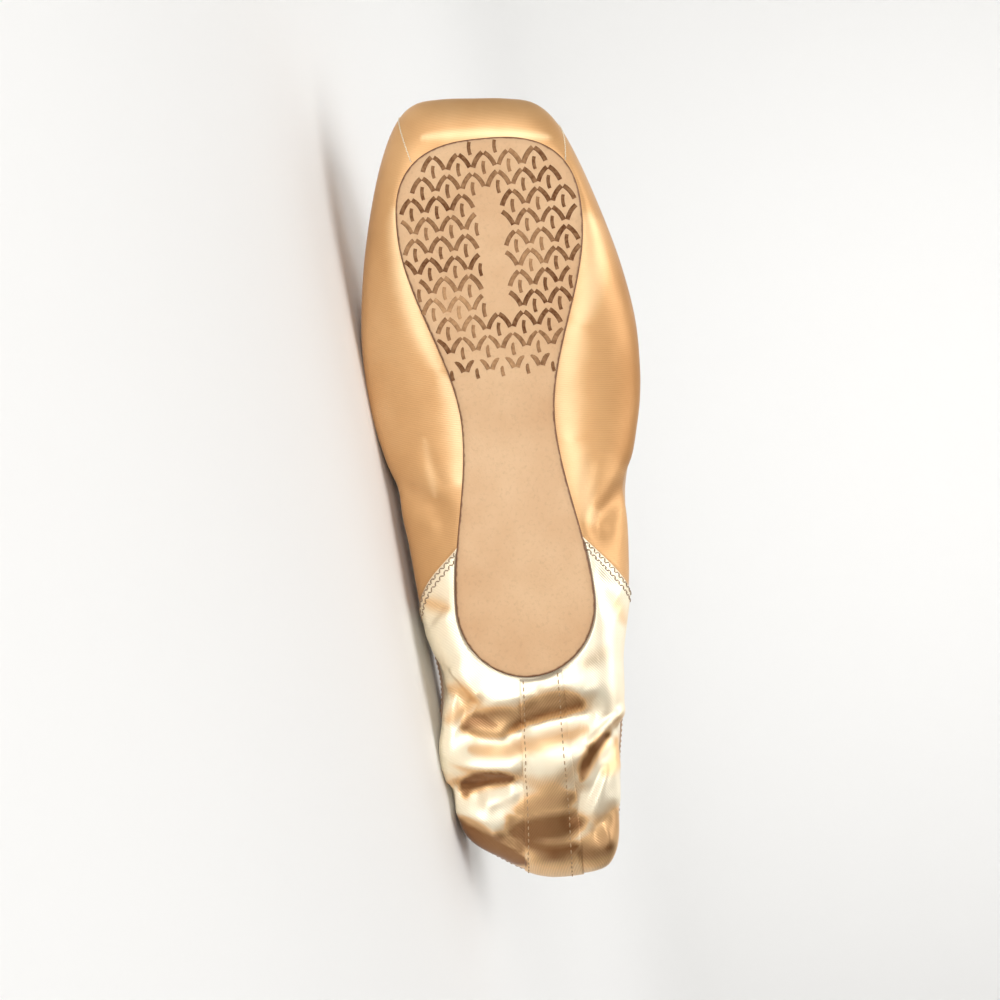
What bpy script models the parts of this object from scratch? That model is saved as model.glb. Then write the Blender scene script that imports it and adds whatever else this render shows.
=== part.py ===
"""A satin pointe shoe, empty and slack at the heel, lying on its side on the floor.

The shoe is worked out in its own frame, in metres: x runs forward from the heel end of the outsole,
y runs across it, and z runs up from the face that a dancer stands on. An empty then lays the shoe
down on its -y side, toe to -X, with the outsole facing -Y.
"""

import math
from collections import namedtuple

import bmesh
import bpy
import numpy as np
from mathutils import Matrix, Vector

# Outsole
SOLE_LENGTH = 0.222
SOLE_BALL_WIDTH = 0.0765
SOLE_WAIST_WIDTH = 0.0385
SOLE_HEEL_WIDTH = 0.0570
SOLE_THICKNESS = 0.0020
SOLE_EDGE_BEVEL = 0.0005
ARCH_RISE = 0.0020

# Upper
BALL_WIDTH = 0.1150
INSTEP_HEIGHT = 0.058
TOE_OVERHANG = 0.0190
TOE_SWAY = 0.0016
TOE_SKEW = 0.08
HEEL_LENGTH = 0.0840
HEEL_SWAY = 0.0040
HEEL_SKEW = 0.30
BOX_WALL = 0.0030
CLOTH_WALL = 0.0014
LASTING_MARGIN = 0.0070
WELT_REACH = 0.0012
SEAM_LAP = 0.0006
QUARTER_STEP = 0.0006
FLOOR_PRESS = 0.0016
FLOOR_ROLL = math.radians(8.0)

# Insole, heel strip and collar binding
INSOLE_THICKNESS = 0.0020
INSOLE_INSET = 0.0015
CORE_CLEARANCE = 0.0010
STRIP_LEFT = 0.0100
STRIP_RIGHT = 0.0140
STRIP_THICKNESS = 0.0005
BINDING_WIDTH = 0.0100
BINDING_THICKNESS = 0.0008

# Clearance between pieces that meet
GAP = 0.0003

# Shares of the outsole's length, from its heel end
HEEL_AT = 0.135
WAIST_AT = 0.468
BALL_AT = 0.842
ARCH_FROM = 0.20
ARCH_TO = 0.66
TOE_SQUARENESS = 2.65

# The box is stiff ahead of this share of the outsole's length, and plain cloth behind the other
BOX_FROM = 0.72
BOX_TO = 0.52

# Ribs of the upper, from the toe to the heel on one side. Each leaves the outsole's edge at a share
# of its half girth, turns up at the side line, passes the shoulder and ends at the collar. "along"
# is -1 at the end of the slack heel, 0 and 1 at the ends of the outsole and 2 at the platform's
# face; "out" is a share of half the ball's width; "up" is a share of the instep's height.
Rib = namedtuple(
    "Rib",
    "sole side_along side_out side_up shoulder_along shoulder_out shoulder_up "
    "collar_along collar_out collar_up crown",
)
RIBS = [
    Rib(0.000, 2.00, 0.000, 0.25, 1.58, 0.000, 0.63, 0.660, 0.000, 1.000, 0.25),
    Rib(0.040, 1.99, 0.225, 0.25, 1.57, 0.185, 0.63, 0.659, 0.070, 1.000, 0.25),
    Rib(0.075, 1.88, 0.430, 0.25, 1.45, 0.360, 0.63, 0.656, 0.140, 0.995, 0.30),
    Rib(0.108, 1.46, 0.580, 0.26, 1.08, 0.480, 0.66, 0.650, 0.200, 0.990, 0.40),
    Rib(0.150, 0.966, 0.715, 0.27, 0.94, 0.580, 0.73, 0.640, 0.262, 0.985, 0.55),
    Rib(0.222, 0.856, 0.850, 0.28, 0.83, 0.680, 0.81, 0.624, 0.326, 0.980, 0.70),
    Rib(0.315, 0.745, 0.948, 0.28, 0.72, 0.770, 0.85, 0.596, 0.402, 0.965, 0.80),
    Rib(0.412, 0.630, 1.000, 0.28, 0.61, 0.840, 0.84, 0.549, 0.502, 0.940, 0.80),
    Rib(0.515, 0.505, 0.975, 0.28, 0.49, 0.860, 0.79, 0.469, 0.608, 0.905, 0.80),
    Rib(0.602, 0.390, 0.880, 0.27, 0.38, 0.830, 0.72, 0.369, 0.690, 0.870, 0.80),
    Rib(0.668, 0.275, 0.805, 0.26, 0.27, 0.785, 0.66, 0.261, 0.717, 0.840, 0.80),
    Rib(0.732, 0.140, 0.755, 0.25, 0.135, 0.740, 0.60, 0.126, 0.697, 0.812, 0.80),
    Rib(0.850, 0.010, 0.655, 0.23, 0.010, 0.650, 0.55, 0.004, 0.633, 0.788, 0.80),
    Rib(0.903, -0.310, 0.655, 0.23, -0.310, 0.645, 0.52, -0.300, 0.620, 0.765, 0.80),
    Rib(0.928, -0.660, 0.600, 0.26, -0.665, 0.590, 0.50, -0.650, 0.570, 0.745, 0.80),
    Rib(0.944, -0.880, 0.490, 0.35, -0.885, 0.485, 0.50, -0.870, 0.460, 0.725, 0.80),
    Rib(0.958, -0.965, 0.240, 0.42, -0.967, 0.240, 0.52, -0.958, 0.230, 0.710, 0.80),
    Rib(1.000, -1.000, 0.000, 0.44, -1.000, 0.000, 0.53, -0.995, 0.000, 0.705, 0.80),
]
SEAM_RIB = 11

# Slack folds of the upper, as seen from the sole: a straight trough (below 0) or ridge (above 0)
# between two places. "along" and "out" are as in the ribs, with out below 0 on the floor's side;
# width and height are shares of the slack heel's length.
Fold = namedtuple("Fold", "along_1 out_1 along_2 out_2 width height")
FOLDS = [
    Fold(-0.20, -0.50, -0.20, 0.36, 0.100, -0.045),
    Fold(-0.38, -0.44, -0.36, 0.34, 0.090, 0.020),
    Fold(-0.52, -0.12, -0.58, -0.56, 0.090, -0.035),
    Fold(-0.32, 0.60, -0.74, 0.30, 0.080, -0.040),
    Fold(0.02, -0.62, -0.08, -0.42, 0.080, -0.030),
    Fold(0.37, -0.86, 0.31, -0.50, 0.080, -0.018),
    Fold(0.35, 0.90, 0.27, 0.60, 0.080, -0.035),
]

# Places across the upper's grid, counted from 0 at the outsole's edge
AT_SIDE = 1.0
AT_BINDING = 2.0
AT_COLLAR = 3.0

# Faces along each stretch of that grid
TOE_TO_SEAM_STEPS = 30
SEAM_TO_STRIP_STEPS = 12
STRIP_STEPS = 2
MARGIN_STEPS = 1
UNDERSIDE_STEPS = 8
RISE_STEPS = 6
OUTLINE_STEPS = 40
CURVE_STEPS = 40
DENSE = 2000
EDGE_MATCH = 1e-9

RIB_TABLE = np.array(RIBS, float)
LAST_RIB = len(RIBS) - 1


def smooth_step(value):
    """0 below 0, 1 above 1, and a smooth rise between."""
    value = np.clip(value, 0.0, 1.0)
    return value * value * (3.0 - 2.0 * value)


def half_width(x):
    """The outsole's half width at a distance x from its heel end."""
    heel_x, waist_x, ball_x = (SOLE_LENGTH * s for s in (HEEL_AT, WAIST_AT, BALL_AT))
    heel, waist, ball = (w / 2 for w in (SOLE_HEEL_WIDTH, SOLE_WAIST_WIDTH, SOLE_BALL_WIDTH))
    to_heel_end = np.clip((heel_x - x) / heel_x, 0, 1)
    to_toe_end = np.clip((x - ball_x) / (SOLE_LENGTH - ball_x), 0, 1)
    middle = heel + (waist - heel) * smooth_step((x - heel_x) / (waist_x - heel_x))
    middle = middle + (ball - waist) * smooth_step((x - waist_x) / (ball_x - waist_x))
    heel_round = np.sqrt(np.maximum(1 - to_heel_end**2, 0))
    toe_round = np.maximum(1 - to_toe_end**TOE_SQUARENESS, 0) ** (1 / TOE_SQUARENESS)
    return middle * heel_round * toe_round


def half_outline(inset=0.0):
    """The outsole's edge from the toe to the heel on the +y side, moved inwards by inset."""
    turn = np.linspace(0, 1, DENSE)
    x = SOLE_LENGTH * (0.5 + 0.5 * np.cos(math.pi * turn))
    line = np.stack([x, half_width(x)], axis=1)
    ahead = np.gradient(line, axis=0)
    ahead /= np.linalg.norm(ahead, axis=1)[:, None]
    line = line + inset * np.stack([-ahead[:, 1], ahead[:, 0]], axis=1)
    line[0, 1] = line[-1, 1] = 0.0
    return line[(line[:, 1] > 0) | (turn == 0) | (turn == 1)]


def run_length(line):
    """Distance along a polyline at each of its points."""
    return np.concatenate([[0], np.cumsum(np.linalg.norm(np.diff(line, axis=0), axis=1))])


def at_share(line, shares):
    """The points of a polyline at shares of its length."""
    run = run_length(line)
    return np.stack([np.interp(np.asarray(shares) * run[-1], run, c) for c in line.T], axis=-1)


def arch(x):
    """How far the outsole's underside lifts off its plane under the arch."""
    place = (x / SOLE_LENGTH - ARCH_FROM) / (ARCH_TO - ARCH_FROM)
    return ARCH_RISE * np.sin(math.pi * np.clip(place, 0, 1)) ** 2


def along(share):
    """Distance along the shoe from the heel end of the outsole, for an "along" value."""
    places = [-HEEL_LENGTH, 0.0, SOLE_LENGTH, SOLE_LENGTH + TOE_OVERHANG]
    return np.interp(share, [-1, 0, 1, 2], places)


def lean(points):
    """The worn shoe's lean: the toe and the slack heel are moved and skewed a little to -y."""
    x, y = points[..., 0], points[..., 1]
    at_toe = smooth_step((x / SOLE_LENGTH - WAIST_AT) / (1 - WAIST_AT))
    at_heel = smooth_step(-x / HEEL_LENGTH * 2)
    at_end = smooth_step(-x / HEEL_LENGTH)
    leaned = points.copy()
    leaned[..., 0] = x - y * (TOE_SKEW * at_toe**2 + HEEL_SKEW * at_end)
    leaned[..., 1] = y - TOE_SWAY * at_toe - HEEL_SWAY * at_heel
    return leaned


def rib_values(turn):
    """Sole share, three points and crown of each rib at places between the table's rows.

    Places run from the last row's number below 0, on the -y side, through 0 at the toe, to above 0.
    """
    columns = [RIB_TABLE[:, 0]]
    for first in (1, 4, 7):
        columns.append(along(RIB_TABLE[:, first]))
        columns.append(RIB_TABLE[:, first + 1] * BALL_WIDTH / 2)
        columns.append(RIB_TABLE[:, first + 2] * INSTEP_HEIGHT)
    table = np.stack(columns + [RIB_TABLE[:, 10]], axis=1)
    mirror = np.ones(len(Rib._fields))
    mirror[[2, 5, 8]] = -1.0
    before, after = table[1] * mirror, table[-2] * mirror
    before[0], after[0] = -table[1][0], 2 - table[-2][0]
    padded = np.vstack([before, table, after])
    away = np.abs(turn)
    row = np.minimum(away.astype(int), LAST_RIB - 1)
    t = (away - row)[:, None]
    p0, p1, p2, p3 = (padded[row + k] for k in range(4))
    bend = 2 * p0 - 5 * p1 + 4 * p2 - p3 + t * (3 * (p1 - p2) + p3 - p0)
    value = p1 + 0.5 * t * (p2 - p0 + t * bend)
    side = np.where(turn < 0, -1.0, 1.0)[:, None]
    return np.where(mirror < 0, value * side, value)


def rib_line(turn, name):
    """One of the lines that the ribs pass through: side, shoulder or collar, as points."""
    first = Rib._fields.index(name + "_along")
    return lean(rib_values(turn)[:, first : first + 3])


def even_turns(first, last, steps):
    """Places between two ribs, at even distances along the side line."""
    turns = np.linspace(first, last, DENSE)
    run = run_length(rib_line(turns, "side"))
    return np.interp(np.linspace(0, run[-1], steps + 1), run, turns)


def strip_turn(width, side):
    """The place of the rib that is a given distance from the middle of the heel, at its end."""
    turns = np.linspace(SEAM_RIB, LAST_RIB, DENSE) * side
    out = np.abs(rib_line(turns, "side")[:, 1])
    return float(np.interp(width, out[::-1], turns[::-1]))


def grid_turns():
    """The places of all ribs of the grid, once round the shoe from the toe, and the strip's edges."""
    right, left = strip_turn(STRIP_RIGHT, 1), -strip_turn(STRIP_LEFT, -1)
    seam_line = rib_line(np.array([SEAM_RIB, SEAM_RIB + 0.1]), "side")
    lap = 0.1 * SEAM_LAP / np.linalg.norm(seam_line[1] - seam_line[0])
    halves = []
    for edge in (right, left):
        front = even_turns(0, SEAM_RIB - lap, TOE_TO_SEAM_STEPS)
        quarter = even_turns(SEAM_RIB, edge, SEAM_TO_STRIP_STEPS)
        strip = even_turns(edge, LAST_RIB, STRIP_STEPS)
        halves.append(np.concatenate([front, quarter, strip[1:]]))
    turns = np.concatenate([halves[0], -halves[1][-2:0:-1]])
    return turns, right, left


def unit(vectors):
    """Vectors scaled to length 1."""
    return vectors / np.maximum(np.linalg.norm(vectors, axis=-1, keepdims=True), 1e-12)


def hermite(a, b, slope_a, slope_b, steps):
    """Points on a smooth curve from a to b, without a, for every rib at once."""
    s = (np.arange(1, steps + 1) / steps)[None, :, None]
    a, b, slope_a, slope_b = (v[:, None, :] for v in (a, b, slope_a, slope_b))
    return (
        (2 * s**3 - 3 * s**2 + 1) * a
        + (s**3 - 2 * s**2 + s) * slope_a
        + (3 * s**2 - 2 * s**3) * b
        + (s**3 - s**2) * slope_b
    )


def sole_edge(turn, inset=0.0):
    """Where the ribs leave the outsole's edge, at the height of the upper's underside."""
    shares = np.clip(rib_values(turn)[:, 0], 0, 1)
    plan = at_share(half_outline(inset), shares)
    y = plan[:, 1] * np.where(turn < 0, -1, 1)
    z = arch(plan[:, 0]) + SOLE_THICKNESS + GAP
    return np.stack([plan[:, 0], y, z], axis=1)


def upper_grid(turn):
    """The upper's smooth outer surface: a row for each rib, from under the outsole to the collar."""
    opening, edge = sole_edge(turn, LASTING_MARGIN), sole_edge(turn)
    side, shoulder, collar = (rib_line(turn, n) for n in ("side", "shoulder", "collar"))
    s = (np.arange(MARGIN_STEPS) / MARGIN_STEPS)[None, :, None]
    margin = opening[:, None, :] * (1 - s) + edge[:, None, :] * s
    reach = np.linalg.norm(side - edge, axis=1)
    first = np.arcsin(WELT_REACH / reach)[:, None]
    share = (np.arange(UNDERSIDE_STEPS) / (UNDERSIDE_STEPS - 1))[None, :]
    angle = np.concatenate([np.zeros_like(first), first + (math.pi / 2 - first) * share], axis=1)
    out, rise = np.sin(angle)[..., None], (1 - np.cos(angle))
    underside = edge[:, None, :] + (side - edge)[:, None, :] * out
    underside[..., 2] = edge[:, None, 2] + (side - edge)[:, None, 2] * rise
    crown = rib_values(turn)[:, [Rib._fields.index("crown")]]
    over = unit(unit(collar - shoulder) + crown * unit(shoulder - side))
    reach_side = np.linalg.norm(shoulder - side, axis=1, keepdims=True)
    reach_top = np.linalg.norm(collar - shoulder, axis=1, keepdims=True)
    upward = np.array([[0.0, 0.0, 1.0]])
    wall = hermite(side, shoulder, upward * reach_side * 1.2, over * reach_side, CURVE_STEPS)
    ahead = unit(collar - shoulder)
    top = hermite(shoulder, collar, over * reach_top, ahead * reach_top, CURVE_STEPS)
    rise = np.concatenate([side[:, None], wall, top], axis=1)
    slant = np.linalg.norm(np.cross(ahead, round_the_shoe(collar)), axis=1)
    lines = zip(rise, slant)
    rise = np.stack([spaced_rise(r, BINDING_WIDTH / k, GAP / k) for r, k in lines])
    return np.concatenate([margin, underside, rise[:, 1:]], axis=1)


def round_the_shoe(points):
    """Unit vectors along a closed line of points."""
    return unit(np.roll(points, -1, 0) - np.roll(points, 1, 0))


def spaced_rise(line, binding, gap):
    """A rib's points from the side line to the collar, with two steps across the binding."""
    run = run_length(line)
    below = np.linspace(0, run[-1] - binding - gap, RISE_STEPS + 1)
    places = np.concatenate([below, [run[-1] - binding / 2, run[-1]]])
    return np.stack([np.interp(places, run, axis) for axis in line.T], axis=-1)


def grid_normals(points):
    """Outward normals of a grid whose rows go round the shoe."""
    return unit(np.cross(round_the_shoe(points), np.gradient(points, axis=1)))


def fold_height(points):
    """How far the folds lift the satin at each point, along its normal."""
    x, y = points[..., 0], points[..., 1]
    total = np.zeros(points.shape[:-1])
    for fold in FOLDS:
        first = np.array([along(fold.along_1), fold.out_1 * BALL_WIDTH / 2])
        second = np.array([along(fold.along_2), fold.out_2 * BALL_WIDTH / 2])
        run = second - first
        share = ((x - first[0]) * run[0] + (y - first[1]) * run[1]) / (run @ run)
        near = np.clip(share, 0, 1)
        away = np.hypot(x - first[0] - near * run[0], y - first[1] - near * run[1])
        total += fold.height * HEEL_LENGTH * np.exp(-((away / (fold.width * HEEL_LENGTH)) ** 2))
    return total


def column_share():
    """Each column's place: over the underside, up the side, and across the binding."""
    under = np.linspace(0.02, AT_SIDE, UNDERSIDE_STEPS)
    up = np.linspace(AT_SIDE, AT_BINDING, RISE_STEPS + 1)[1:]
    across = np.linspace(AT_BINDING, AT_COLLAR, 3)[1:]
    return np.concatenate([np.zeros(MARGIN_STEPS + 1), under, up, across])


def behind_seam(turn):
    """1 on the quarters and 0 on the forepart."""
    return (np.abs(turn) >= SEAM_RIB).astype(float)


def dressed_grid(turn):
    """The upper's smooth outer surface with its folds, before it lies on the floor."""
    points = upper_grid(turn)
    low = column_share()
    free = smooth_step(low / 0.35) * smooth_step((AT_BINDING - low) / 0.8)
    lift = fold_height(points) * free[None, :]
    return points + grid_normals(points) * lift[..., None]


def floor_plane(points):
    """The floor's normal and distance: it touches the -y side at the ball and at the heel."""
    cloud = points.reshape(-1, 3)
    ball_side = cloud[:, 0] > SOLE_LENGTH * WAIST_AT

    def normal(yaw):
        return np.array(
            [
                math.sin(yaw) * math.cos(FLOOR_ROLL),
                math.cos(yaw) * math.cos(FLOOR_ROLL),
                -math.sin(FLOOR_ROLL),
            ]
        )

    low, high = 0.0, math.radians(30)
    for _ in range(40):
        yaw = (low + high) / 2
        height = cloud @ normal(yaw)
        if height[ball_side].min() < height[~ball_side].min():
            low = yaw
        else:
            high = yaw
    return normal(yaw), float((cloud @ normal(yaw)).min()) + FLOOR_PRESS


def press(points, floor, clearance=0.0):
    """Points that would pass through the floor are laid on it, or at a clearance over it."""
    normal, level = floor
    short = np.maximum(level + clearance - points @ normal, 0.0)
    return points + normal * short[..., None]


def wall_thickness(points):
    """The upper's wall: thick round the toe box, cloth behind it and where it is lasted under."""
    x = points[..., 0] / SOLE_LENGTH
    stiff = smooth_step((x - BOX_TO) / (BOX_FROM - BOX_TO))
    stiff = stiff * smooth_step(column_share() / 0.6)[None, :]
    return CLOTH_WALL + (BOX_WALL - CLOTH_WALL) * stiff


def mesh_normals(grid):
    """The vertex normals that Blender gives a closed grid."""
    mesh = bpy.data.meshes.new("normals")
    rows, columns = grid.shape[:2]
    mesh.from_pydata([tuple(map(float, p)) for p in grid.reshape(-1, 3)], [], ring_faces(rows, columns))
    mesh.update()
    normals = np.array([v.normal for v in mesh.vertices]).reshape(grid.shape)
    bpy.data.meshes.remove(mesh)
    return normals


def material(name, colour, roughness, metallic=0.0):
    """A plain Principled material."""
    made = bpy.data.materials.new(name)
    made.use_nodes = True
    shader = made.node_tree.nodes["Principled BSDF"]
    shader.inputs["Base Color"].default_value = (*colour, 1.0)
    shader.inputs["Roughness"].default_value = roughness
    shader.inputs["Metallic"].default_value = metallic
    return made


def add_object(name, points, faces, finish, parts, parent):
    """A mesh object in the shoe's frame, carried by the empty that lays the shoe down."""
    mesh = bpy.data.meshes.new(name)
    mesh.from_pydata([tuple(map(float, p)) for p in points], [], faces)
    mesh.materials.append(finish)
    mesh.shade_smooth()
    made = bpy.data.objects.new(name, mesh)
    parts.objects.link(made)
    made.parent = parent
    return made


def ring_faces(rows, columns, closed_rows=True, closed_columns=False, turned=()):
    """Triangles of a grid, which may close on itself. Turned columns take the other diagonal."""
    row_count = rows if closed_rows else rows - 1
    column_count = columns if closed_columns else columns - 1
    faces = []
    for i in range(row_count):
        for j in range(column_count):
            i2, j2 = (i + 1) % rows, (j + 1) % columns
            here, ahead = i * columns + j, i2 * columns + j
            here_up, ahead_up = i * columns + j2, i2 * columns + j2
            if j in turned:
                faces += [(here, ahead, here_up), (ahead, ahead_up, here_up)]
            else:
                faces += [(here, ahead, ahead_up), (here, ahead_up, here_up)]
    return faces


def add_board(name, inset, bottom, thickness, finish, parts, parent):
    """A flat board in the outline of the outsole, bent to the arch, with its lower face at bottom."""
    line = at_share(half_outline(inset), np.linspace(0, 1, OUTLINE_STEPS + 1))
    mesh = bmesh.new()
    rungs = []
    for x, y in line:
        z = float(arch(x)) + bottom
        across = (0,) if y < 1e-6 else (-y, 0, y)
        rungs.append([mesh.verts.new((float(x), float(v), z)) for v in across])
    for one, two in zip(rungs, rungs[1:]):
        if len(one) == 1:
            mesh.faces.new((one[0], two[0], two[1]))
            mesh.faces.new((one[0], two[1], two[2]))
        elif len(two) == 1:
            mesh.faces.new((two[0], one[1], one[0]))
            mesh.faces.new((two[0], one[2], one[1]))
        else:
            mesh.faces.new((one[0], two[0], two[1], one[1]))
            mesh.faces.new((one[1], two[1], two[2], one[2]))
    bmesh.ops.recalc_face_normals(mesh, faces=mesh.faces)
    if sum(face.normal.z for face in mesh.faces) > 0:
        bmesh.ops.reverse_faces(mesh, faces=mesh.faces)
    data = bpy.data.meshes.new(name)
    mesh.to_mesh(data)
    mesh.free()
    data.materials.append(finish)
    made = bpy.data.objects.new(name, data)
    parts.objects.link(made)
    made.parent = parent
    shell = made.modifiers.new("thickness", "SOLIDIFY")
    shell.thickness = thickness
    shell.offset = -1.0
    return made


def add_outsole(parts, parent):
    """The leather outsole, a thin board with a bevelled edge."""
    leather = material("outsole_leather", (0.66, 0.44, 0.28), 0.6)
    outsole = add_board("outsole", 0.0, 0.0, SOLE_THICKNESS, leather, parts, parent)
    edge = outsole.modifiers.new("edge", "BEVEL")
    edge.width = SOLE_EDGE_BEVEL
    edge.segments = 1
    edge.limit_method = "ANGLE"
    edge.angle_limit = math.radians(60)
    return outsole


def add_insole(parts, cutters, parent):
    """The insole board, with a core that fills the opening under it down to the outsole."""
    board = material("insole_board", (0.80, 0.72, 0.60), 0.8)
    seat = SOLE_THICKNESS + GAP
    deck = seat + CLOTH_WALL + GAP
    insole = add_board("insole", INSOLE_INSET, deck, INSOLE_THICKNESS, board, parts, parent)
    inset = LASTING_MARGIN + CORE_CLEARANCE
    height = deck - seat + INSOLE_THICKNESS / 2
    core = add_board("insole_core", inset, seat, height, board, cutters, parent)
    core.hide_render = True
    core.display_type = "WIRE"
    join = insole.modifiers.new("core", "BOOLEAN")
    join.operation = "UNION"
    join.object = core
    return insole


def add_upper(inner, walls, parts, parent):
    """The satin upper, one hollow shell, open at the collar and under the outsole."""
    satin = material("upper_satin", (0.80, 0.56, 0.33), 0.35)
    rows, columns = inner.shape[:2]
    upper = add_object("upper", inner.reshape(-1, 3), ring_faces(rows, columns), satin, parts, parent)
    group = upper.vertex_groups.new(name="wall")
    thickest = float(walls.max())
    for index, share in enumerate((walls / thickest).reshape(-1)):
        group.add([index], float(share), "REPLACE")
    shell = upper.modifiers.new("wall", "SOLIDIFY")
    shell.thickness = thickest
    shell.offset = 1.0
    shell.vertex_group = group.name
    return upper


def add_heel_strip(turn, outer, normals, edges, parts, parent):
    """The strip that covers the back of the heel, from the outsole to the binding."""
    satin = material("strip_satin", (0.86, 0.64, 0.42), 0.35)
    right = np.where(turn >= edges[0] - EDGE_MATCH)[0]
    left = np.where(turn <= -edges[1] + EDGE_MATCH)[0]
    ribs = np.concatenate([right, left])
    columns = slice(MARGIN_STEPS + 1, -2)
    points = (outer + normals * GAP)[ribs][:, columns]
    rows, count = points.shape[:2]
    faces = ring_faces(rows, count, closed_rows=False)
    strip = add_object("heel_strip", points.reshape(-1, 3), faces, satin, parts, parent)
    shell = strip.modifiers.new("thickness", "SOLIDIFY")
    shell.thickness = STRIP_THICKNESS
    shell.offset = 1.0
    return strip


def add_collar_binding(outer, inner, normals, floor, parts, parent):
    """The ribbed elastic binding, folded over the collar's edge all the way round."""
    elastic = material("collar_elastic", (0.80, 0.62, 0.48), 0.7)
    skin = GAP + BINDING_THICKNESS
    edge_run = round_the_shoe(outer[:, -1])
    over_edge = outer[:, -1] - outer[:, -2]
    over_edge = unit(over_edge - edge_run * (over_edge * edge_run).sum(axis=1, keepdims=True))
    edge_share = (BINDING_WIDTH / 2) / (BINDING_WIDTH / 2 + GAP)

    def at_edge(surface, lift):
        level = surface + normals * lift
        return level[:, -2] + (level[:, -3] - level[:, -2]) * edge_share

    def level(surface, column, lift):
        return surface[:, column] + normals[:, column] * lift

    def past_edge(surface, reach, lift):
        return level(surface, -1, lift) + over_edge * reach

    section = [at_edge(outer, skin), level(outer, -2, skin)]
    section += [past_edge(outer, skin, skin), past_edge(inner, skin, -skin)]
    section += [level(inner, -2, -skin), level(inner, -2, -GAP)]
    section += [past_edge(inner, GAP, -GAP), past_edge(outer, GAP, GAP)]
    downward = (len(section) - 1, len(section))
    section += [level(outer, -2, GAP), at_edge(outer, GAP)]
    section = press(np.stack(section, axis=1), floor)
    rows, columns = section.shape[:2]
    faces = ring_faces(rows, columns, closed_columns=True, turned=downward)
    return add_object("collar_binding", section.reshape(-1, 3), faces, elastic, parts, parent)


def lay_down(parent, floor, parts):
    """Turns the shoe onto the floor, with the origin under the middle of its box."""
    normal, level = floor
    up = Vector(normal)
    forward = Vector((1, 0, 0)) - up * up.x
    world_x = -forward.normalized()
    world_y = up.cross(world_x)
    turn = Matrix((world_x, world_y, up)).to_4x4()
    parent.matrix_world = turn
    bpy.context.view_layer.update()
    graph = bpy.context.evaluated_depsgraph_get()
    corners = []
    for piece in parts.objects:
        if piece.type == "MESH":
            seen = piece.evaluated_get(graph)
            corners += [seen.matrix_world @ v.co for v in seen.data.vertices]
    corners = np.array(corners)
    low, high = corners.min(0), corners.max(0)
    middle = (low + high) / 2
    parent.matrix_world = Matrix.Translation((-middle[0], -middle[1], -low[2])) @ turn
    bpy.context.view_layer.update()


def main():
    for thing in list(bpy.data.objects):
        bpy.data.objects.remove(thing)
    parts = bpy.data.collections.new("pointe_shoe")
    cutters = bpy.data.collections.new("cutters")
    for collection in (parts, cutters):
        bpy.context.scene.collection.children.link(collection)
    pose = bpy.data.objects.new("lying_pose", None)
    parts.objects.link(pose)

    turn, right_edge, left_edge = grid_turns()
    smooth = dressed_grid(turn)
    floor = floor_plane(smooth)
    walls = wall_thickness(smooth)
    inner = smooth - grid_normals(smooth) * walls[..., None]
    low = column_share()
    lap = behind_seam(turn)[:, None] * smooth_step(low / 0.05)[None, :]
    walls = walls + QUARTER_STEP * lap
    binding_room = (GAP + BINDING_THICKNESS) * (low >= AT_BINDING)
    inner = press(inner, floor, walls + binding_room[None, :])
    normals = mesh_normals(inner)
    outer = inner + normals * walls[..., None]

    add_outsole(parts, pose)
    add_insole(parts, cutters, pose)
    add_upper(inner, walls, parts, pose)
    add_heel_strip(turn, outer, normals, (right_edge, left_edge), parts, pose)
    add_collar_binding(outer, inner, normals, floor, parts, pose)
    lay_down(pose, floor, parts)


main()
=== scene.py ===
"""The looks of a satin pointe shoe that lies on its side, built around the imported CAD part.

The pieces are worked out in the shoe's own frame, in metres: x runs forward from the heel end of the
outsole, y runs across it, and z runs up from the face that a dancer stands on. They are then laid down
as the CAD part is.
"""

import math
from collections import namedtuple
from functools import lru_cache
from itertools import product

import bmesh
import bpy
import numpy as np
from bpy.props import FloatProperty, FloatVectorProperty, IntProperty, PointerProperty
from mathutils import Matrix, Vector, noise


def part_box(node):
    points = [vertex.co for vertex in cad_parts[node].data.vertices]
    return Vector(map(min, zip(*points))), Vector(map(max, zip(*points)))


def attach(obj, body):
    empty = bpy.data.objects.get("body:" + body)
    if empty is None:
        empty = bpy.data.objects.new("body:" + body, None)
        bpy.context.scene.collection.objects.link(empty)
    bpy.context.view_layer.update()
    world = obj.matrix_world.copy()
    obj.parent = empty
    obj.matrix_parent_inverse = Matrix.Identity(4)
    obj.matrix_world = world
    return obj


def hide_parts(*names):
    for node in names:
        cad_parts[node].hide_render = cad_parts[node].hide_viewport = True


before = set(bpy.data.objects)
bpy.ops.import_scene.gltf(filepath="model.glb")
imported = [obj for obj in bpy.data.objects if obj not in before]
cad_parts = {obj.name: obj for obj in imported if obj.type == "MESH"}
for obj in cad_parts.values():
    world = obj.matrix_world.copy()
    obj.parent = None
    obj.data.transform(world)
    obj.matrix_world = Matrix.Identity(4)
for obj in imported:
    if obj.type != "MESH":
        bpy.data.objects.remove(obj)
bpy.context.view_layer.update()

bl_info = {
    "name": "Pointe shoe",
    "version": (1, 0, 0),
    "blender": (4, 5, 0),
    "location": "View3D > Sidebar > Pointe shoe",
    "description": "Builds the satin, leather, elastic and stitching of a pointe shoe",
    "category": "Object",
}

# Outsole
SOLE_LENGTH = 0.222
SOLE_BALL_WIDTH = 0.0765
SOLE_WAIST_WIDTH = 0.0385
SOLE_HEEL_WIDTH = 0.0570
SOLE_THICKNESS = 0.0020
ARCH_RISE = 0.0020
HEEL_AT = 0.135
WAIST_AT = 0.468
BALL_AT = 0.842
ARCH_FROM = 0.20
ARCH_TO = 0.66
TOE_SQUARENESS = 2.65

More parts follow.
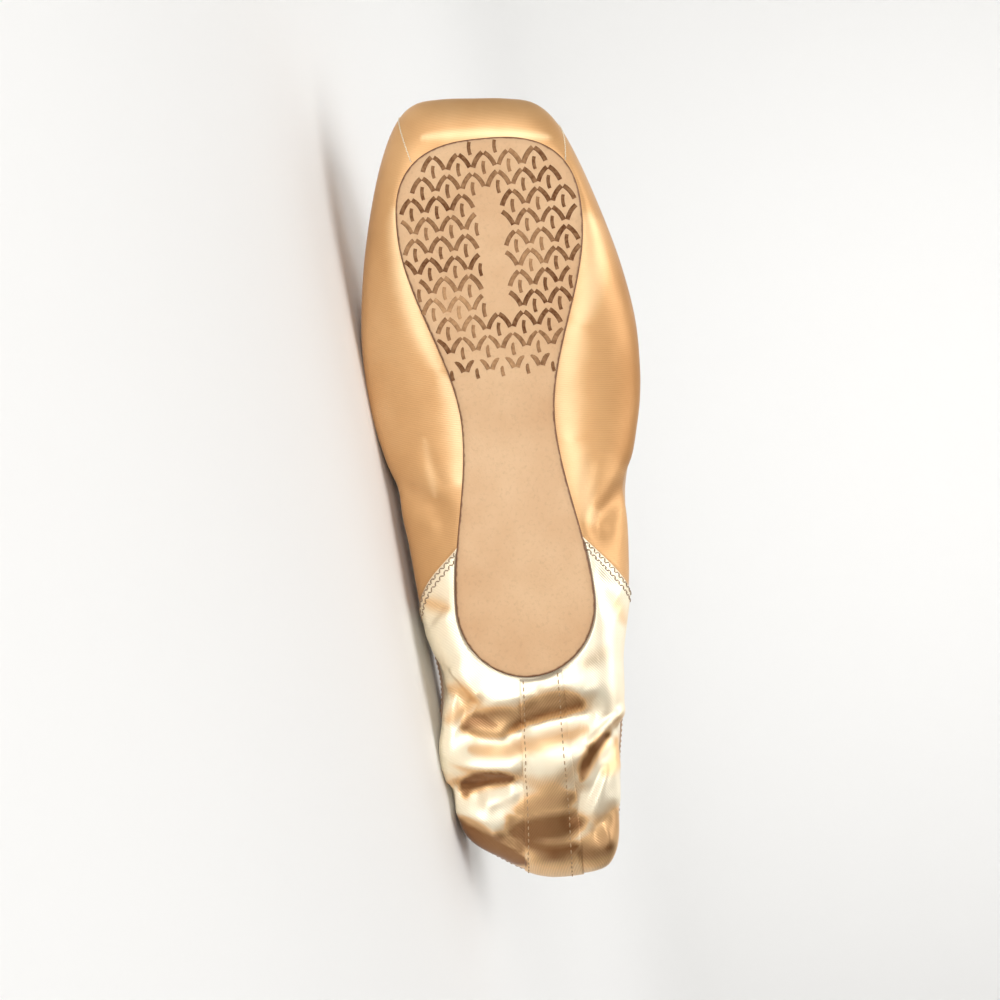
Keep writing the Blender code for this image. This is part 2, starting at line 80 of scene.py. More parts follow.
# Upper
BALL_WIDTH = 0.1150
INSTEP_HEIGHT = 0.058
TOE_OVERHANG = 0.0190
TOE_SWAY = 0.0016
TOE_SKEW = 0.08
HEEL_LENGTH = 0.0840
HEEL_SWAY = 0.0040
HEEL_SKEW = 0.30
BOX_WALL = 0.0030
CLOTH_WALL = 0.0014
BOX_FROM = 0.72
BOX_TO = 0.52
LASTING_MARGIN = 0.0070
WELT_REACH = 0.0012
FLOOR_ROLL = math.radians(8.0)

# Heel strip, collar binding and the clearance between pieces that meet
STRIP_LEFT = 0.0100
STRIP_RIGHT = 0.0140
STRIP_THICKNESS = 0.0005
BINDING_WIDTH = 0.0100
BINDING_THICKNESS = 0.0008
GAP = 0.0003

# Ribs of the upper, from the toe to the heel on one side. Each leaves the outsole's edge at a share
# of its half girth, turns up at the side line, passes the shoulder and ends at the collar. "along"
# is -1 at the end of the slack heel, 0 and 1 at the ends of the outsole and 2 at the platform's
# face; "out" is a share of half the ball's width; "up" is a share of the instep's height.
Rib = namedtuple(
    "Rib",
    "sole side_along side_out side_up shoulder_along shoulder_out shoulder_up "
    "collar_along collar_out collar_up crown",
)
RIBS = [
    Rib(0.000, 2.00, 0.000, 0.25, 1.58, 0.000, 0.63, 0.660, 0.000, 1.000, 0.25),
    Rib(0.040, 1.99, 0.225, 0.25, 1.57, 0.185, 0.63, 0.659, 0.070, 1.000, 0.25),
    Rib(0.075, 1.88, 0.430, 0.25, 1.45, 0.360, 0.63, 0.656, 0.140, 0.995, 0.30),
    Rib(0.108, 1.46, 0.580, 0.26, 1.08, 0.480, 0.66, 0.650, 0.200, 0.990, 0.40),
    Rib(0.150, 0.966, 0.715, 0.27, 0.94, 0.580, 0.73, 0.640, 0.262, 0.985, 0.55),
    Rib(0.222, 0.856, 0.850, 0.28, 0.83, 0.680, 0.81, 0.624, 0.326, 0.980, 0.70),
    Rib(0.315, 0.745, 0.948, 0.28, 0.72, 0.770, 0.85, 0.596, 0.402, 0.965, 0.80),
    Rib(0.412, 0.630, 1.000, 0.28, 0.61, 0.840, 0.84, 0.549, 0.502, 0.940, 0.80),
    Rib(0.515, 0.505, 0.975, 0.28, 0.49, 0.860, 0.79, 0.469, 0.608, 0.905, 0.80),
    Rib(0.602, 0.390, 0.880, 0.27, 0.38, 0.830, 0.72, 0.369, 0.690, 0.870, 0.80),
    Rib(0.668, 0.275, 0.805, 0.26, 0.27, 0.785, 0.66, 0.261, 0.717, 0.840, 0.80),
    Rib(0.732, 0.140, 0.755, 0.25, 0.135, 0.740, 0.60, 0.126, 0.697, 0.812, 0.80),
    Rib(0.850, 0.010, 0.655, 0.23, 0.010, 0.650, 0.55, 0.004, 0.633, 0.788, 0.80),
    Rib(0.903, -0.310, 0.655, 0.23, -0.310, 0.645, 0.52, -0.300, 0.620, 0.765, 0.80),
    Rib(0.928, -0.660, 0.600, 0.26, -0.665, 0.590, 0.50, -0.650, 0.570, 0.745, 0.80),
    Rib(0.944, -0.880, 0.490, 0.35, -0.885, 0.485, 0.50, -0.870, 0.460, 0.725, 0.80),
    Rib(0.958, -0.965, 0.240, 0.42, -0.967, 0.240, 0.52, -0.958, 0.230, 0.710, 0.80),
    Rib(1.000, -1.000, 0.000, 0.44, -1.000, 0.000, 0.53, -0.995, 0.000, 0.705, 0.80),
]
RIB_TABLE = np.array(RIBS, float)
LAST_RIB = len(RIBS) - 1
SEAM_RIB = 11

# How far the quarter's front edge bows towards the toe, in ribs, on each side
SEAM_BOW = {1: 0.09, -1: 0.17}

# The CAD part's own slack folds: a trough (below 0) or ridge (above 0) between two places, with
# width and height as shares of the slack heel's length
Fold = namedtuple("Fold", "along_1 out_1 along_2 out_2 width height")
FOLDS = [
    Fold(-0.20, -0.50, -0.20, 0.36, 0.100, -0.045),
    Fold(-0.38, -0.44, -0.36, 0.34, 0.090, 0.020),
    Fold(-0.52, -0.12, -0.58, -0.56, 0.090, -0.035),
    Fold(-0.32, 0.60, -0.74, 0.30, 0.080, -0.040),
    Fold(0.02, -0.62, -0.08, -0.42, 0.080, -0.030),
    Fold(0.37, -0.86, 0.31, -0.50, 0.080, -0.018),
    Fold(0.35, 0.90, 0.27, 0.60, 0.080, -0.035),
]

# Creases, each through three places given as in the ribs. Width and height are in
# millimetres, and lean makes one side of the crease steeper than the other.
CREASE_GAIN = 1.1
Crease = namedtuple("Crease", "along_1 out_1 along_2 out_2 along_3 out_3 width height lean")
CREASES = [
    Crease(-0.238, -0.596, -0.318, -0.303, -0.266, -0.044, 5.0, -3.0, 0.35),
    Crease(-0.305, -0.217, -0.240, 0.054, -0.222, 0.435, 5.0, -3.0, 0.35),
    Crease(-0.118, -0.559, -0.107, -0.232, -0.062, 0.027, 4.5, 1.6, -0.20),
    Crease(-0.068, 0.005, -0.046, 0.218, -0.145, 0.425, 4.5, 1.6, -0.20),
    Crease(-0.372, -0.625, -0.441, -0.341, -0.477, -0.115, 3.8, 2.0, -0.55),
    Crease(-0.475, -0.146, -0.475, 0.075, -0.370, 0.341, 5.5, 2.4, -0.10),
    Crease(-0.485, -0.662, -0.529, -0.532, -0.513, -0.225, 4.4, -2.8, 0.35),
    Crease(-0.612, -0.470, -0.586, -0.319, -0.546, -0.156, 4.0, 1.8, -0.20),
    Crease(-0.629, -0.650, -0.685, -0.459, -0.794, -0.327, 3.0, 1.8, -0.35),
    Crease(0.030, -0.605, -0.007, -0.491, -0.108, -0.379, 2.6, 2.0, -0.55),
    Crease(0.001, -0.647, -0.075, -0.553, -0.140, -0.436, 4.4, -2.0, 0.30),
    Crease(-0.195, 0.638, -0.286, 0.489, -0.369, 0.331, 2.6, 2.0, -0.50),
    Crease(-0.312, 0.549, -0.388, 0.402, -0.525, 0.288, 4.2, -2.0, 0.30),
    Crease(-0.454, 0.529, -0.598, 0.415, -0.755, 0.298, 3.4, 2.2, -0.20),
    Crease(-0.554, 0.295, -0.650, 0.229, -0.757, 0.204, 3.0, -1.2, 0.20),
    Crease(-0.848, 0.286, -0.770, 0.412, -0.656, 0.543, 3.8, -1.4, 0.20),
    Crease(-0.768, 0.381, -0.822, 0.436, -0.893, 0.426, 2.2, 1.0, 0.00),
    Crease(-0.301, 0.603, -0.415, 0.597, -0.530, 0.592, 2.6, 1.0, 0.00),
    Crease(-0.903, -0.195, -0.888, 0.017, -0.916, 0.224, 4.0, 1.2, 0.00),
    Crease(0.155, -0.574, 0.134, -0.636, 0.116, -0.709, 3.4, -1.8, 0.20),
    Crease(0.145, -0.533, 0.108, -0.624, 0.080, -0.656, 3.4, 0.9, 0.00),
    Crease(0.183, 0.489, 0.158, 0.589, 0.141, 0.671, 4.4, -0.9, 0.20),
    Crease(0.120, 0.510, 0.118, 0.597, 0.105, 0.669, 4.0, -0.5, 0.00),
    Crease(0.025, 0.431, 0.007, 0.479, 0.034, 0.533, 3.6, -0.4, 0.00),
    Crease(0.378, -0.817, 0.351, -0.661, 0.320, -0.470, 3.6, -0.8, 0.20),
    Crease(0.329, -0.817, 0.311, -0.696, 0.293, -0.539, 3.4, 0.5, 0.00),
    Crease(0.450, -0.626, 0.405, -0.574, 0.360, -0.504, 3.0, -0.3, 0.00),
    Crease(0.279, 0.591, 0.311, 0.696, 0.351, 0.835, 4.0, -0.3, 0.30),
    Crease(0.252, 0.643, 0.288, 0.765, 0.324, 0.870, 3.4, 0.3, 0.00),
    Crease(0.396, 0.574, 0.360, 0.539, 0.315, 0.487, 3.0, -0.3, 0.00),
]

# Patches of painted shade and painted highlight on the satin, each along a curve through three places as
# above: its half width in millimetres, how much darker with painted shade (above 0) or paler with painted
# highlight (below 0) the satin looks there, and how firm its edge is, from 2 (soft) to 4
PaintedPatch = namedtuple("PaintedPatch", "along_1 out_1 along_2 out_2 along_3 out_3 width change edge")
PAINTED_PATCHES = [
    PaintedPatch(-0.224, -0.505, -0.211, -0.307, -0.205, -0.119, 5.6, 0.66, 4),
    PaintedPatch(-0.190, -0.117, -0.139, 0.112, -0.155, 0.314, 5.0, 0.64, 4),
    PaintedPatch(-0.223, -0.522, -0.197, -0.425, -0.223, -0.300, 3.6, 0.90, 3),
    PaintedPatch(-0.330, -0.486, -0.348, -0.121, -0.286, 0.348, 3.0, 0.42, 4),
    PaintedPatch(-0.556, -0.560, -0.498, -0.466, -0.498, -0.228, 3.8, 0.95, 4),
    PaintedPatch(-0.657, -0.181, -0.629, 0.027, -0.610, 0.183, 5.6, 0.70, 3),
    PaintedPatch(-0.765, -0.222, -0.751, 0.019, -0.750, 0.232, 7.2, 1.00, 3),
    PaintedPatch(-0.816, -0.152, -0.862, 0.012, -0.862, 0.200, 4.6, 1.00, 2),
    PaintedPatch(-0.690, -0.655, -0.824, -0.426, -0.924, -0.193, 4.2, 0.98, 3),
    PaintedPatch(-0.029, -0.589, -0.095, -0.470, -0.178, -0.627, 4.4, 0.44, 2),
    PaintedPatch(-0.327, 0.495, -0.407, 0.373, -0.518, 0.290, 2.8, 0.90, 3),
    PaintedPatch(-0.361, 0.567, -0.442, 0.565, -0.505, 0.454, 3.6, 0.50, 3),
    PaintedPatch(-0.881, 0.214, -0.857, 0.388, -0.730, 0.508, 6.4, 0.74, 3),
    PaintedPatch(-0.693, -0.254, -0.753, -0.220, -0.860, -0.192, 4.4, 0.70, 3),
    PaintedPatch(-0.789, -0.387, -0.809, -0.270, -0.872, -0.194, 4.0, 0.60, 2),
    PaintedPatch(0.156, -0.707, 0.147, -0.634, 0.140, -0.551, 2.8, 0.40, 2),
    PaintedPatch(0.144, 0.595, 0.115, 0.651, 0.083, 0.699, 2.8, 0.34, 2),
    PaintedPatch(0.008, 0.254, 0.018, 0.410, 0.037, 0.537, 3.6, 0.16, 2),
    PaintedPatch(0.880, -0.656, 0.733, -0.634, 0.583, -0.461, 3.8, -0.50, 2),
    PaintedPatch(0.566, -0.435, 0.479, -0.347, 0.373, -0.386, 4.6, -0.50, 2),
    PaintedPatch(0.835, 0.716, 0.756, 0.731, 0.648, 0.572, 5.6, -0.46, 2),
    PaintedPatch(0.637, 0.546, 0.538, 0.445, 0.432, 0.428, 5.8, -0.46, 2),
    PaintedPatch(0.432, 0.428, 0.369, 0.470, 0.278, 0.524, 4.6, -0.38, 2),
    PaintedPatch(1.159, -0.412, 1.111, 0.031, 0.992, 0.480, 2.0, -0.44, 2),
    PaintedPatch(1.792, -0.512, 1.736, 0.029, 1.490, 0.542, 6.0, -0.10, 2),
    PaintedPatch(0.457, -0.609, 0.401, -0.593, 0.350, -0.574, 1.6, -0.20, 2),
    PaintedPatch(0.795, -0.850, 0.662, -0.921, 0.520, -0.885, 7.0, -0.06, 2),
    PaintedPatch(0.854, 0.886, 0.627, 0.977, 0.383, 0.823, 9.0, 0.42, 2),
    PaintedPatch(0.305, 0.577, 0.324, 0.693, 0.350, 0.810, 3.0, 0.30, 2),
]
# The forepart's own place on the satin's scale, from which its painted light and shade start
FOREPART_TONE = 0.5

# Directions across the satin's yarns, in the shoe's frame
RIB_DIRECTION = (1.0, 0.0, 0.35)
TWILL_DIRECTION = (1.0, 1.0, 0.6)
STRIP_TWILL_DIRECTION = (1.0, -1.0, 0.6)

# Faces along each stretch of a grid of the upper: the CAD part's own, which fixes how it lies on the
# floor, and the fine one that is seen
Steps = namedtuple("Steps", "toe quarter strip margin underside rise band")
COARSE = Steps(30, 12, 2, 1, 8, 6, 2)
FINE = Steps(110, 90, 24, 1, 54, 26, 5)
CURVE_STEPS = 40
DENSE = 2000
SEAM_LAP = 0.0006

# How full the upper's sides are, in both grids
SIDE_FULLNESS = 1.2

# How the fine grid is shaped: the length and spread of the ribs that take even steps, and how even;
# the bow's reach in ribs; how far from the lasted edge the satin is held flat; and the run of the step
# at the quarters' folded edge
LONG_RIB = 0.025
LONG_RIB_SPREAD = 0.050
MOST_EVEN = 0.7
BOW_REACH = 2.5
HELD_REACH = 0.007
LAP_SLOPE = 0.0004

# Finding the floor: the most that the shoe is turned along it, and how often that range is halved
MOST_YAW = math.radians(30)
TRIES = 40

# Creases and painted patches: the points along each; a patch's width at its ends, as a share, and what
# its middle adds; the painted shade on slack satin that faces the heel's end; and from where, and over
# what, the yarns fade as the satin turns square to their direction
ROW_POINTS = 13
PATCH_END_WIDTH = 0.55
PATCH_MIDDLE_WIDTH = 0.60
HEEL_PAINTED_SHADE = 0.40
YARN_FADE_FROM = 0.72
YARN_FADE_OVER = 0.20

# Outsole's finish: points along half its edge, how far its middle line ends from the heel and the
# toe, and the rings of its face: shares of the way in to the middle line, and their heights
EDGE_STEPS = 220
MIDDLE_FROM_HEEL = 0.026
MIDDLE_FROM_TOE = 0.030
OUTSOLE_RINGS = [(0.004, 0.00016), (0.012, 0.00004)]
OUTSOLE_RINGS += [(share, 0.0) for share in (0.022, 0.036, 0.06, 0.10, 0.18, 0.30, 0.46, 0.64, 0.82)]

# Tread print: where it starts and how long it is, its rows as a share of the pitch, its distance from
# the outsole's edge and toe, how far its middle stands off the leather, the size of its strokes, the bare
# place in it, and the strokes of one motif in shares of the pitch
TREAD_FROM = 0.130
TREAD_LENGTH = 0.100
TREAD_ROW_SHARE = 0.80
TREAD_COLUMNS = 6
TREAD_MARGIN = 0.0026
TREAD_END = 0.0035
TREAD_LIFT = 0.00003
STROKE_WIDTH = 0.0019
STROKE_HEIGHT = 0.00012
BARE_FROM = 0.150
BARE_TO = 0.197
BARE_MIDDLE = 0.0013
BARE_HALF_WIDTH = 0.0045
Stroke = namedtuple("Stroke", "side out back turn size")
STROKES = [
    Stroke(-1, 0.235, 0.0, 0.62, 1.0),
    Stroke(1, 0.235, 0.0, 0.62, 1.0),
    Stroke(0, 0.0, -0.32, 0.0, 0.75),
]

# Collar binding: where its flaps start, in steps of the grid, its ribs and grooves outside and inside,
# the fold over the collar's edge, and how far the flaps' edges stand off the satin
FLAP_START = 0.12
POINTS_PER_RIB = 5
RIB_ROUNDNESS = 0.6
GROOVE_DEPTH = 0.00032
FOLD_INSET = 0.0003
FOLD_STEPS = 6
FOLD_BULGE = 0.0010
INNER_POINTS = 15
INNER_RIBS = 5
INNER_GROOVE_DEPTH = 0.0002
FLAP_LIFT = 0.00008

# Heel strip's finish: its underside as a share of the gap, its thickness as a share of the CAD part's,
# how far its rims thin out and how sharply, its stitches' place across it, and their upper end as a
# column's place
STRIP_UNDER = 0.6
STRIP_FULLNESS = 1.15
STRIP_RIM_DROP = 0.5
STRIP_RIM_POWER = 10
STRIP_STITCHES_OUT = 0.74
STRIP_STITCHES_TOP = 1.97

# Stitching: the seams' distances behind the quarters' front edges, their lift off the satin, how many
# rows of the grid they are looked for in and their upper end as a column's place; the binding's row, in
# steps of the grid; the toe's seams, as the side and the ribs where each starts and ends, their upper
# end, and the pitch and length of their stitches
SEAM_ROWS = (0.0016, 0.0046)
SEAM_LIFT = 0.00006
SEAM_SEARCH = 40
SEAM_TOP = 1.99
BINDING_STITCHES_UP = 0.45
TOE_SEAMS = ((-1, 3.24, 2.60), (1, 3.79, 2.89))
TOE_SEAM_TOP = 1.30
TOE_PITCH = 0.0011
TOE_STITCH = 0.0009

# Backdrop: a floor that bends up into a wall
FLOOR_FRONT = -2.5
FLOOR_BEND = 0.9
BEND_RADIUS = 0.5
BEND_STEPS = 12
WALL_HEIGHT = 2.6
WALL_HALF_WIDTH = 3.0

# Area lamps beside the camera, over the floor, before the wall and behind the shoe: where each stands
# and aims, its width and height, its share of the lamp power and its spread in degrees
Lamp = namedtuple("Lamp", "name at aim size share spread")
LAMPS = [
    Lamp("key_lamp", (-0.42, -1.6, 0.42), (0.0, 0.0, 0.05), (1.5, 0.72), 1.0, 180.0),
    Lamp("floor_lamp", (0.0, -0.55, 1.3), (0.0, -0.40, 0.0), (1.2, 0.8), 0.32, 110.0),
    Lamp("wall_lamp", (0.0, 0.35, 1.40), (0.0, 1.32, 0.38), (1.5, 1.0), 0.58, 120.0),
    Lamp("back_lamp", (0.0, 0.42, 0.75), (0.0, 0.03, 0.0), (1.4, 0.4), 0.045, 100.0),
]
ROOM_COLOUR = (0.85, 0.76, 0.66, 1.0)
ROOM_STRENGTH = 0.13

# The camera, in the shoe's frame: metres to a pixel of the render, its turn, where the heel end of the
# outsole shows, right of and below the render's middle in pixels, and its lens and sensor in millimetres
PIXEL = 0.00041
PICTURE_TURN = math.radians(5.4)
HEEL_RIGHT = 32.4
HEEL_BELOW = 177.0
LENS = 79.02
SENSOR = 36.0

# The fine upper: its ribs' and columns' places, both its faces, the outer one's normals, the rows of
# the quarters' front edges and the rows under the heel strip
Surface = namedtuple("Surface", "turn low outer inner normal seam_right seam_left strip_rows")


def smooth_step(value):
    """0 below 0, 1 above 1, and a smooth rise between."""
    value = np.clip(value, 0.0, 1.0)
    return value * value * (3.0 - 2.0 * value)


def unit(vectors):
    """Vectors scaled to length 1."""
    return vectors / np.maximum(np.linalg.norm(vectors, axis=-1, keepdims=True), 1e-12)


def run_length(line):
    """Distance along a polyline at each of its points."""
    return np.concatenate([[0], np.cumsum(np.linalg.norm(np.diff(line, axis=0), axis=1))])


def between(places, run, line):
    """The values of a polyline's columns at places along its run."""
    return np.stack([np.interp(places, run, column) for column in line.T], axis=-1)


def at_share(line, shares):
    """The points of a polyline at shares of its length."""
    run = run_length(line)
    return between(np.asarray(shares) * run[-1], run, line)


def half_width(x):
    """The outsole's half width at a distance x from its heel end."""
    heel_x, waist_x, ball_x = (SOLE_LENGTH * s for s in (HEEL_AT, WAIST_AT, BALL_AT))
    heel, waist, ball = (w / 2 for w in (SOLE_HEEL_WIDTH, SOLE_WAIST_WIDTH, SOLE_BALL_WIDTH))
    to_heel_end = np.clip((heel_x - x) / heel_x, 0, 1)
    to_toe_end = np.clip((x - ball_x) / (SOLE_LENGTH - ball_x), 0, 1)
    middle = heel + (waist - heel) * smooth_step((x - heel_x) / (waist_x - heel_x))
    middle = middle + (ball - waist) * smooth_step((x - waist_x) / (ball_x - waist_x))
    heel_round = np.sqrt(np.maximum(1 - to_heel_end**2, 0))
    toe_round = np.maximum(1 - to_toe_end**TOE_SQUARENESS, 0) ** (1 / TOE_SQUARENESS)
    return middle * heel_round * toe_round


def half_outline(inset=0.0):
    """The outsole's edge from the toe to the heel on the +y side, moved inwards by inset."""
    turn = np.linspace(0, 1, DENSE)
    x = SOLE_LENGTH * (0.5 + 0.5 * np.cos(math.pi * turn))
    line = np.stack([x, half_width(x)], axis=1)
    ahead = np.gradient(line, axis=0)
    ahead /= np.linalg.norm(ahead, axis=1)[:, None]
    line = line + inset * np.stack([-ahead[:, 1], ahead[:, 0]], axis=1)
    line[0, 1] = line[-1, 1] = 0.0
    return line[(line[:, 1] > 0) | (turn == 0) | (turn == 1)]


def arch(x):
    """How far the outsole's underside lifts off its plane under the arch."""
    place = (x / SOLE_LENGTH - ARCH_FROM) / (ARCH_TO - ARCH_FROM)
    return ARCH_RISE * np.sin(math.pi * np.clip(place, 0, 1)) ** 2


def along(share):
    """Distance along the shoe from the heel end of the outsole, for an "along" value."""
    places = [-HEEL_LENGTH, 0.0, SOLE_LENGTH, SOLE_LENGTH + TOE_OVERHANG]
    return np.interp(share, [-1, 0, 1, 2], places)


def place(share, out):
    """A place seen from the sole, for "along" and "out" values."""
    return np.array([float(along(share)), out * BALL_WIDTH / 2])


def lean(points):
    """The worn shoe's lean: the toe and the slack heel are moved and skewed a little to -y."""
    x, y = points[..., 0], points[..., 1]
    at_toe = smooth_step((x / SOLE_LENGTH - WAIST_AT) / (1 - WAIST_AT))
    at_heel = smooth_step(-x / HEEL_LENGTH * 2)
    at_end = smooth_step(-x / HEEL_LENGTH)
    leaned = points.copy()
    leaned[..., 0] = x - y * (TOE_SKEW * at_toe**2 + HEEL_SKEW * at_end)
    leaned[..., 1] = y - TOE_SWAY * at_toe - HEEL_SWAY * at_heel
    return leaned


def rib_values(turn):
    """Sole share, three points and crown of each rib at places between the table's rows.

    Places run from the last row's number below 0, on the -y side, through 0 at the toe, to above 0.
    """
    columns = [RIB_TABLE[:, 0]]
    for first in (1, 4, 7):
        columns.append(along(RIB_TABLE[:, first]))
        columns.append(RIB_TABLE[:, first + 1] * BALL_WIDTH / 2)
        columns.append(RIB_TABLE[:, first + 2] * INSTEP_HEIGHT)
    table = np.stack(columns + [RIB_TABLE[:, 10]], axis=1)
    mirror = np.ones(len(Rib._fields))
    mirror[[2, 5, 8]] = -1.0
    before, after = table[1] * mirror, table[-2] * mirror
    before[0], after[0] = -table[1][0], 2 - table[-2][0]
    padded = np.vstack([before, table, after])
    away = np.abs(turn)
    row = np.minimum(away.astype(int), LAST_RIB - 1)
    t = (away - row)[:, None]
    p0, p1, p2, p3 = (padded[row + k] for k in range(4))
    bend = 2 * p0 - 5 * p1 + 4 * p2 - p3 + t * (3 * (p1 - p2) + p3 - p0)
    value = p1 + 0.5 * t * (p2 - p0 + t * bend)
    side = np.where(turn < 0, -1.0, 1.0)[:, None]
    return np.where(mirror < 0, value * side, value)


def rib_line(turn, name):
    """One of the lines that the ribs pass through: side, shoulder or collar, as points."""
    first = Rib._fields.index(name + "_along")
    return lean(rib_values(turn)[:, first : first + 3])


def even_turns(first, last, steps):
    """Places between two ribs, at even distances along the side line."""
    turns = np.linspace(first, last, DENSE)
    run = run_length(rib_line(turns, "side"))
    return np.interp(np.linspace(0, run[-1], steps + 1), run, turns)


def strip_turn(width, side):
    """The place of the rib that is a given distance from the middle of the heel, at its end."""
    turns = np.linspace(SEAM_RIB, LAST_RIB, DENSE) * side
    out = np.abs(rib_line(turns, "side")[:, 1])
    return float(np.interp(width, out[::-1], turns[::-1]))


def once_round(turn):
    """Ribs' places as numbers that grow once round the shoe, from the toe by the heel to the toe."""
    return np.where(turn < 0, 2 * LAST_RIB + turn, turn)


def grid_turns(steps):
    """The places of all ribs of a grid, once round the shoe from the toe, and the strip's edges."""
    right, left = strip_turn(STRIP_RIGHT, 1), -strip_turn(STRIP_LEFT, -1)
    seam_line = rib_line(np.array([SEAM_RIB, SEAM_RIB + 0.1]), "side")
    lap = 0.1 * SEAM_LAP / np.linalg.norm(seam_line[1] - seam_line[0])
    halves = []
    for edge in (right, left):
        front = even_turns(0, SEAM_RIB - lap, steps.toe)
        quarter = even_turns(SEAM_RIB, edge, steps.quarter)
        strip = even_turns(edge, LAST_RIB, steps.strip)
        halves.append(np.concatenate([front, quarter, strip[1:]]))
    return np.concatenate([halves[0], -halves[1][-2:0:-1]]), right, left


def hermite(a, b, slope_a, slope_b, steps):
    """Points on a smooth curve from a to b, without a, for every rib at once."""
    s = (np.arange(1, steps + 1) / steps)[None, :, None]
    a, b, slope_a, slope_b = (v[:, None, :] for v in (a, b, slope_a, slope_b))
    ends = (2 * s**3 - 3 * s**2 + 1) * a + (3 * s**2 - 2 * s**3) * b
    return ends + (s**3 - 2 * s**2 + s) * slope_a + (s**3 - s**2) * slope_b


def sole_edge(turn, inset=0.0):
    """Where the ribs leave the outsole's edge, at the height of the upper's underside."""
    shares = np.clip(rib_values(turn)[:, 0], 0, 1)
    plan = at_share(half_outline(inset), shares)
    y = plan[:, 1] * np.where(turn < 0, -1, 1)
    z = arch(plan[:, 0]) + SOLE_THICKNESS + GAP
    return np.stack([plan[:, 0], y, z], axis=1)


def round_the_shoe(points):
    """Unit vectors along a closed line of points."""
    return unit(np.roll(points, -1, 0) - np.roll(points, 1, 0))


def spaced_rise(line, binding, gap, steps):
    """A rib's points from the side line to the collar, with even steps up to the binding."""
    run = run_length(line)
    below = np.linspace(0, run[-1] - binding - gap, steps.rise + 1)
    across = run[-1] - binding * (1 - np.arange(1, steps.band + 1) / steps.band)
    return between(np.concatenate([below, across]), run, line)


def upper_grid(turn, steps):
    """The upper's smooth outer surface: a row for each rib, from under the outsole to the collar."""
    opening, edge = sole_edge(turn, LASTING_MARGIN), sole_edge(turn)
    side, shoulder, collar = (rib_line(turn, n) for n in ("side", "shoulder", "collar"))
    s = (np.arange(steps.margin) / steps.margin)[None, :, None]
    margin = opening[:, None, :] * (1 - s) + edge[:, None, :] * s
    reach = np.linalg.norm(side - edge, axis=1)
    first = np.arcsin(WELT_REACH / reach)[:, None]
    share = (np.arange(steps.underside) / (steps.underside - 1))[None, :]
    if steps is not COARSE:
        # Long ribs take steps that are even as seen from the sole
        flat = np.clip((reach[:, None] - LONG_RIB) / LONG_RIB_SPREAD, 0, MOST_EVEN)
        share = (1 - flat) * share + flat * np.arcsin(share) / (math.pi / 2)
    angle = np.concatenate([np.zeros_like(first), first + (math.pi / 2 - first) * share], axis=1)
    out, rise = np.sin(angle)[..., None], (1 - np.cos(angle))
    underside = edge[:, None, :] + (side - edge)[:, None, :] * out
    underside[..., 2] = edge[:, None, 2] + (side - edge)[:, None, 2] * rise
    crown = rib_values(turn)[:, [Rib._fields.index("crown")]]
    over = unit(unit(collar - shoulder) + crown * unit(shoulder - side))
    reach_side = np.linalg.norm(shoulder - side, axis=1, keepdims=True)
    reach_top = np.linalg.norm(collar - shoulder, axis=1, keepdims=True)
    upward = np.array([[0.0, 0.0, 1.0]])
    wall = hermite(side, shoulder, upward * reach_side * SIDE_FULLNESS, over * reach_side, CURVE_STEPS)
    ahead = unit(collar - shoulder)
    top = hermite(shoulder, collar, over * reach_top, ahead * reach_top, CURVE_STEPS)
    rise = np.concatenate([side[:, None], wall, top], axis=1)
    slant = np.linalg.norm(np.cross(ahead, round_the_shoe(collar)), axis=1)
    lines = zip(rise, slant)
    rise = np.stack([spaced_rise(r, BINDING_WIDTH / k, GAP / k, steps) for r, k in lines])
    return np.concatenate([margin, underside, rise[:, 1:]], axis=1)


def column_share(steps):
    """Each column's place: 0 to 1 over the underside, 1 to 2 up the side, 2 to 3 over the binding."""
    under = 0.02 + 0.98 * np.arange(steps.underside) / (steps.underside - 1)
    up = 1 + np.arange(1, steps.rise + 1) / steps.rise
    across = 2 + np.arange(1, steps.band + 1) / steps.band
    return np.concatenate([np.zeros(steps.margin + 1), under, up, across])


def grid_normals(points):
    """Outward normals of a grid whose rows go round the shoe."""
    return unit(np.cross(round_the_shoe(points), np.gradient(points, axis=1)))


def line_reach(points, line):
    """Distance of points from a plan polyline, the side they are on, and the share along it."""
    flat = points[..., :2].reshape(-1, 2)
    best = np.full(len(flat), np.inf)
    side = np.zeros(len(flat))
    share = np.zeros(len(flat))
    pieces = len(line) - 1
    for index, (a, b) in enumerate(zip(line, line[1:])):
        run = b - a
        t = np.clip(((flat - a) @ run) / (run @ run), 0, 1)
        gap = flat - a - t[:, None] * run
        away = np.hypot(gap[:, 0], gap[:, 1])
        nearer = away < best
        turned = np.sign(run[0] * gap[:, 1] - run[1] * gap[:, 0])
        best = np.where(nearer, away, best)
        side = np.where(nearer, turned, side)
        share = np.where(nearer, (index + t) / pieces, share)
    shape = points.shape[:-1]
    return best.reshape(shape), side.reshape(shape), share.reshape(shape)


def fold_height(points):
    """How far the CAD part's folds lift the satin at each point, along its normal."""
    total = np.zeros(points.shape[:-1])
    for fold in FOLDS:
        line = np.stack([place(fold.along_1, fold.out_1), place(fold.along_2, fold.out_2)])
        away = line_reach(points, line)[0] / (fold.width * HEEL_LENGTH)
        total += fold.height * HEEL_LENGTH * np.exp(-(away**2))
    return total


def curve_through(row):
    """A plan polyline that curves through a row's three places."""
    t = np.linspace(0, 1, ROW_POINTS)[:, None]
    first, last = place(row.along_1, row.out_1), place(row.along_3, row.out_3)
    bend = 2 * place(row.along_2, row.out_2) - (first + last) / 2
    return (1 - t) ** 2 * first + 2 * t * (1 - t) * bend + t**2 * last


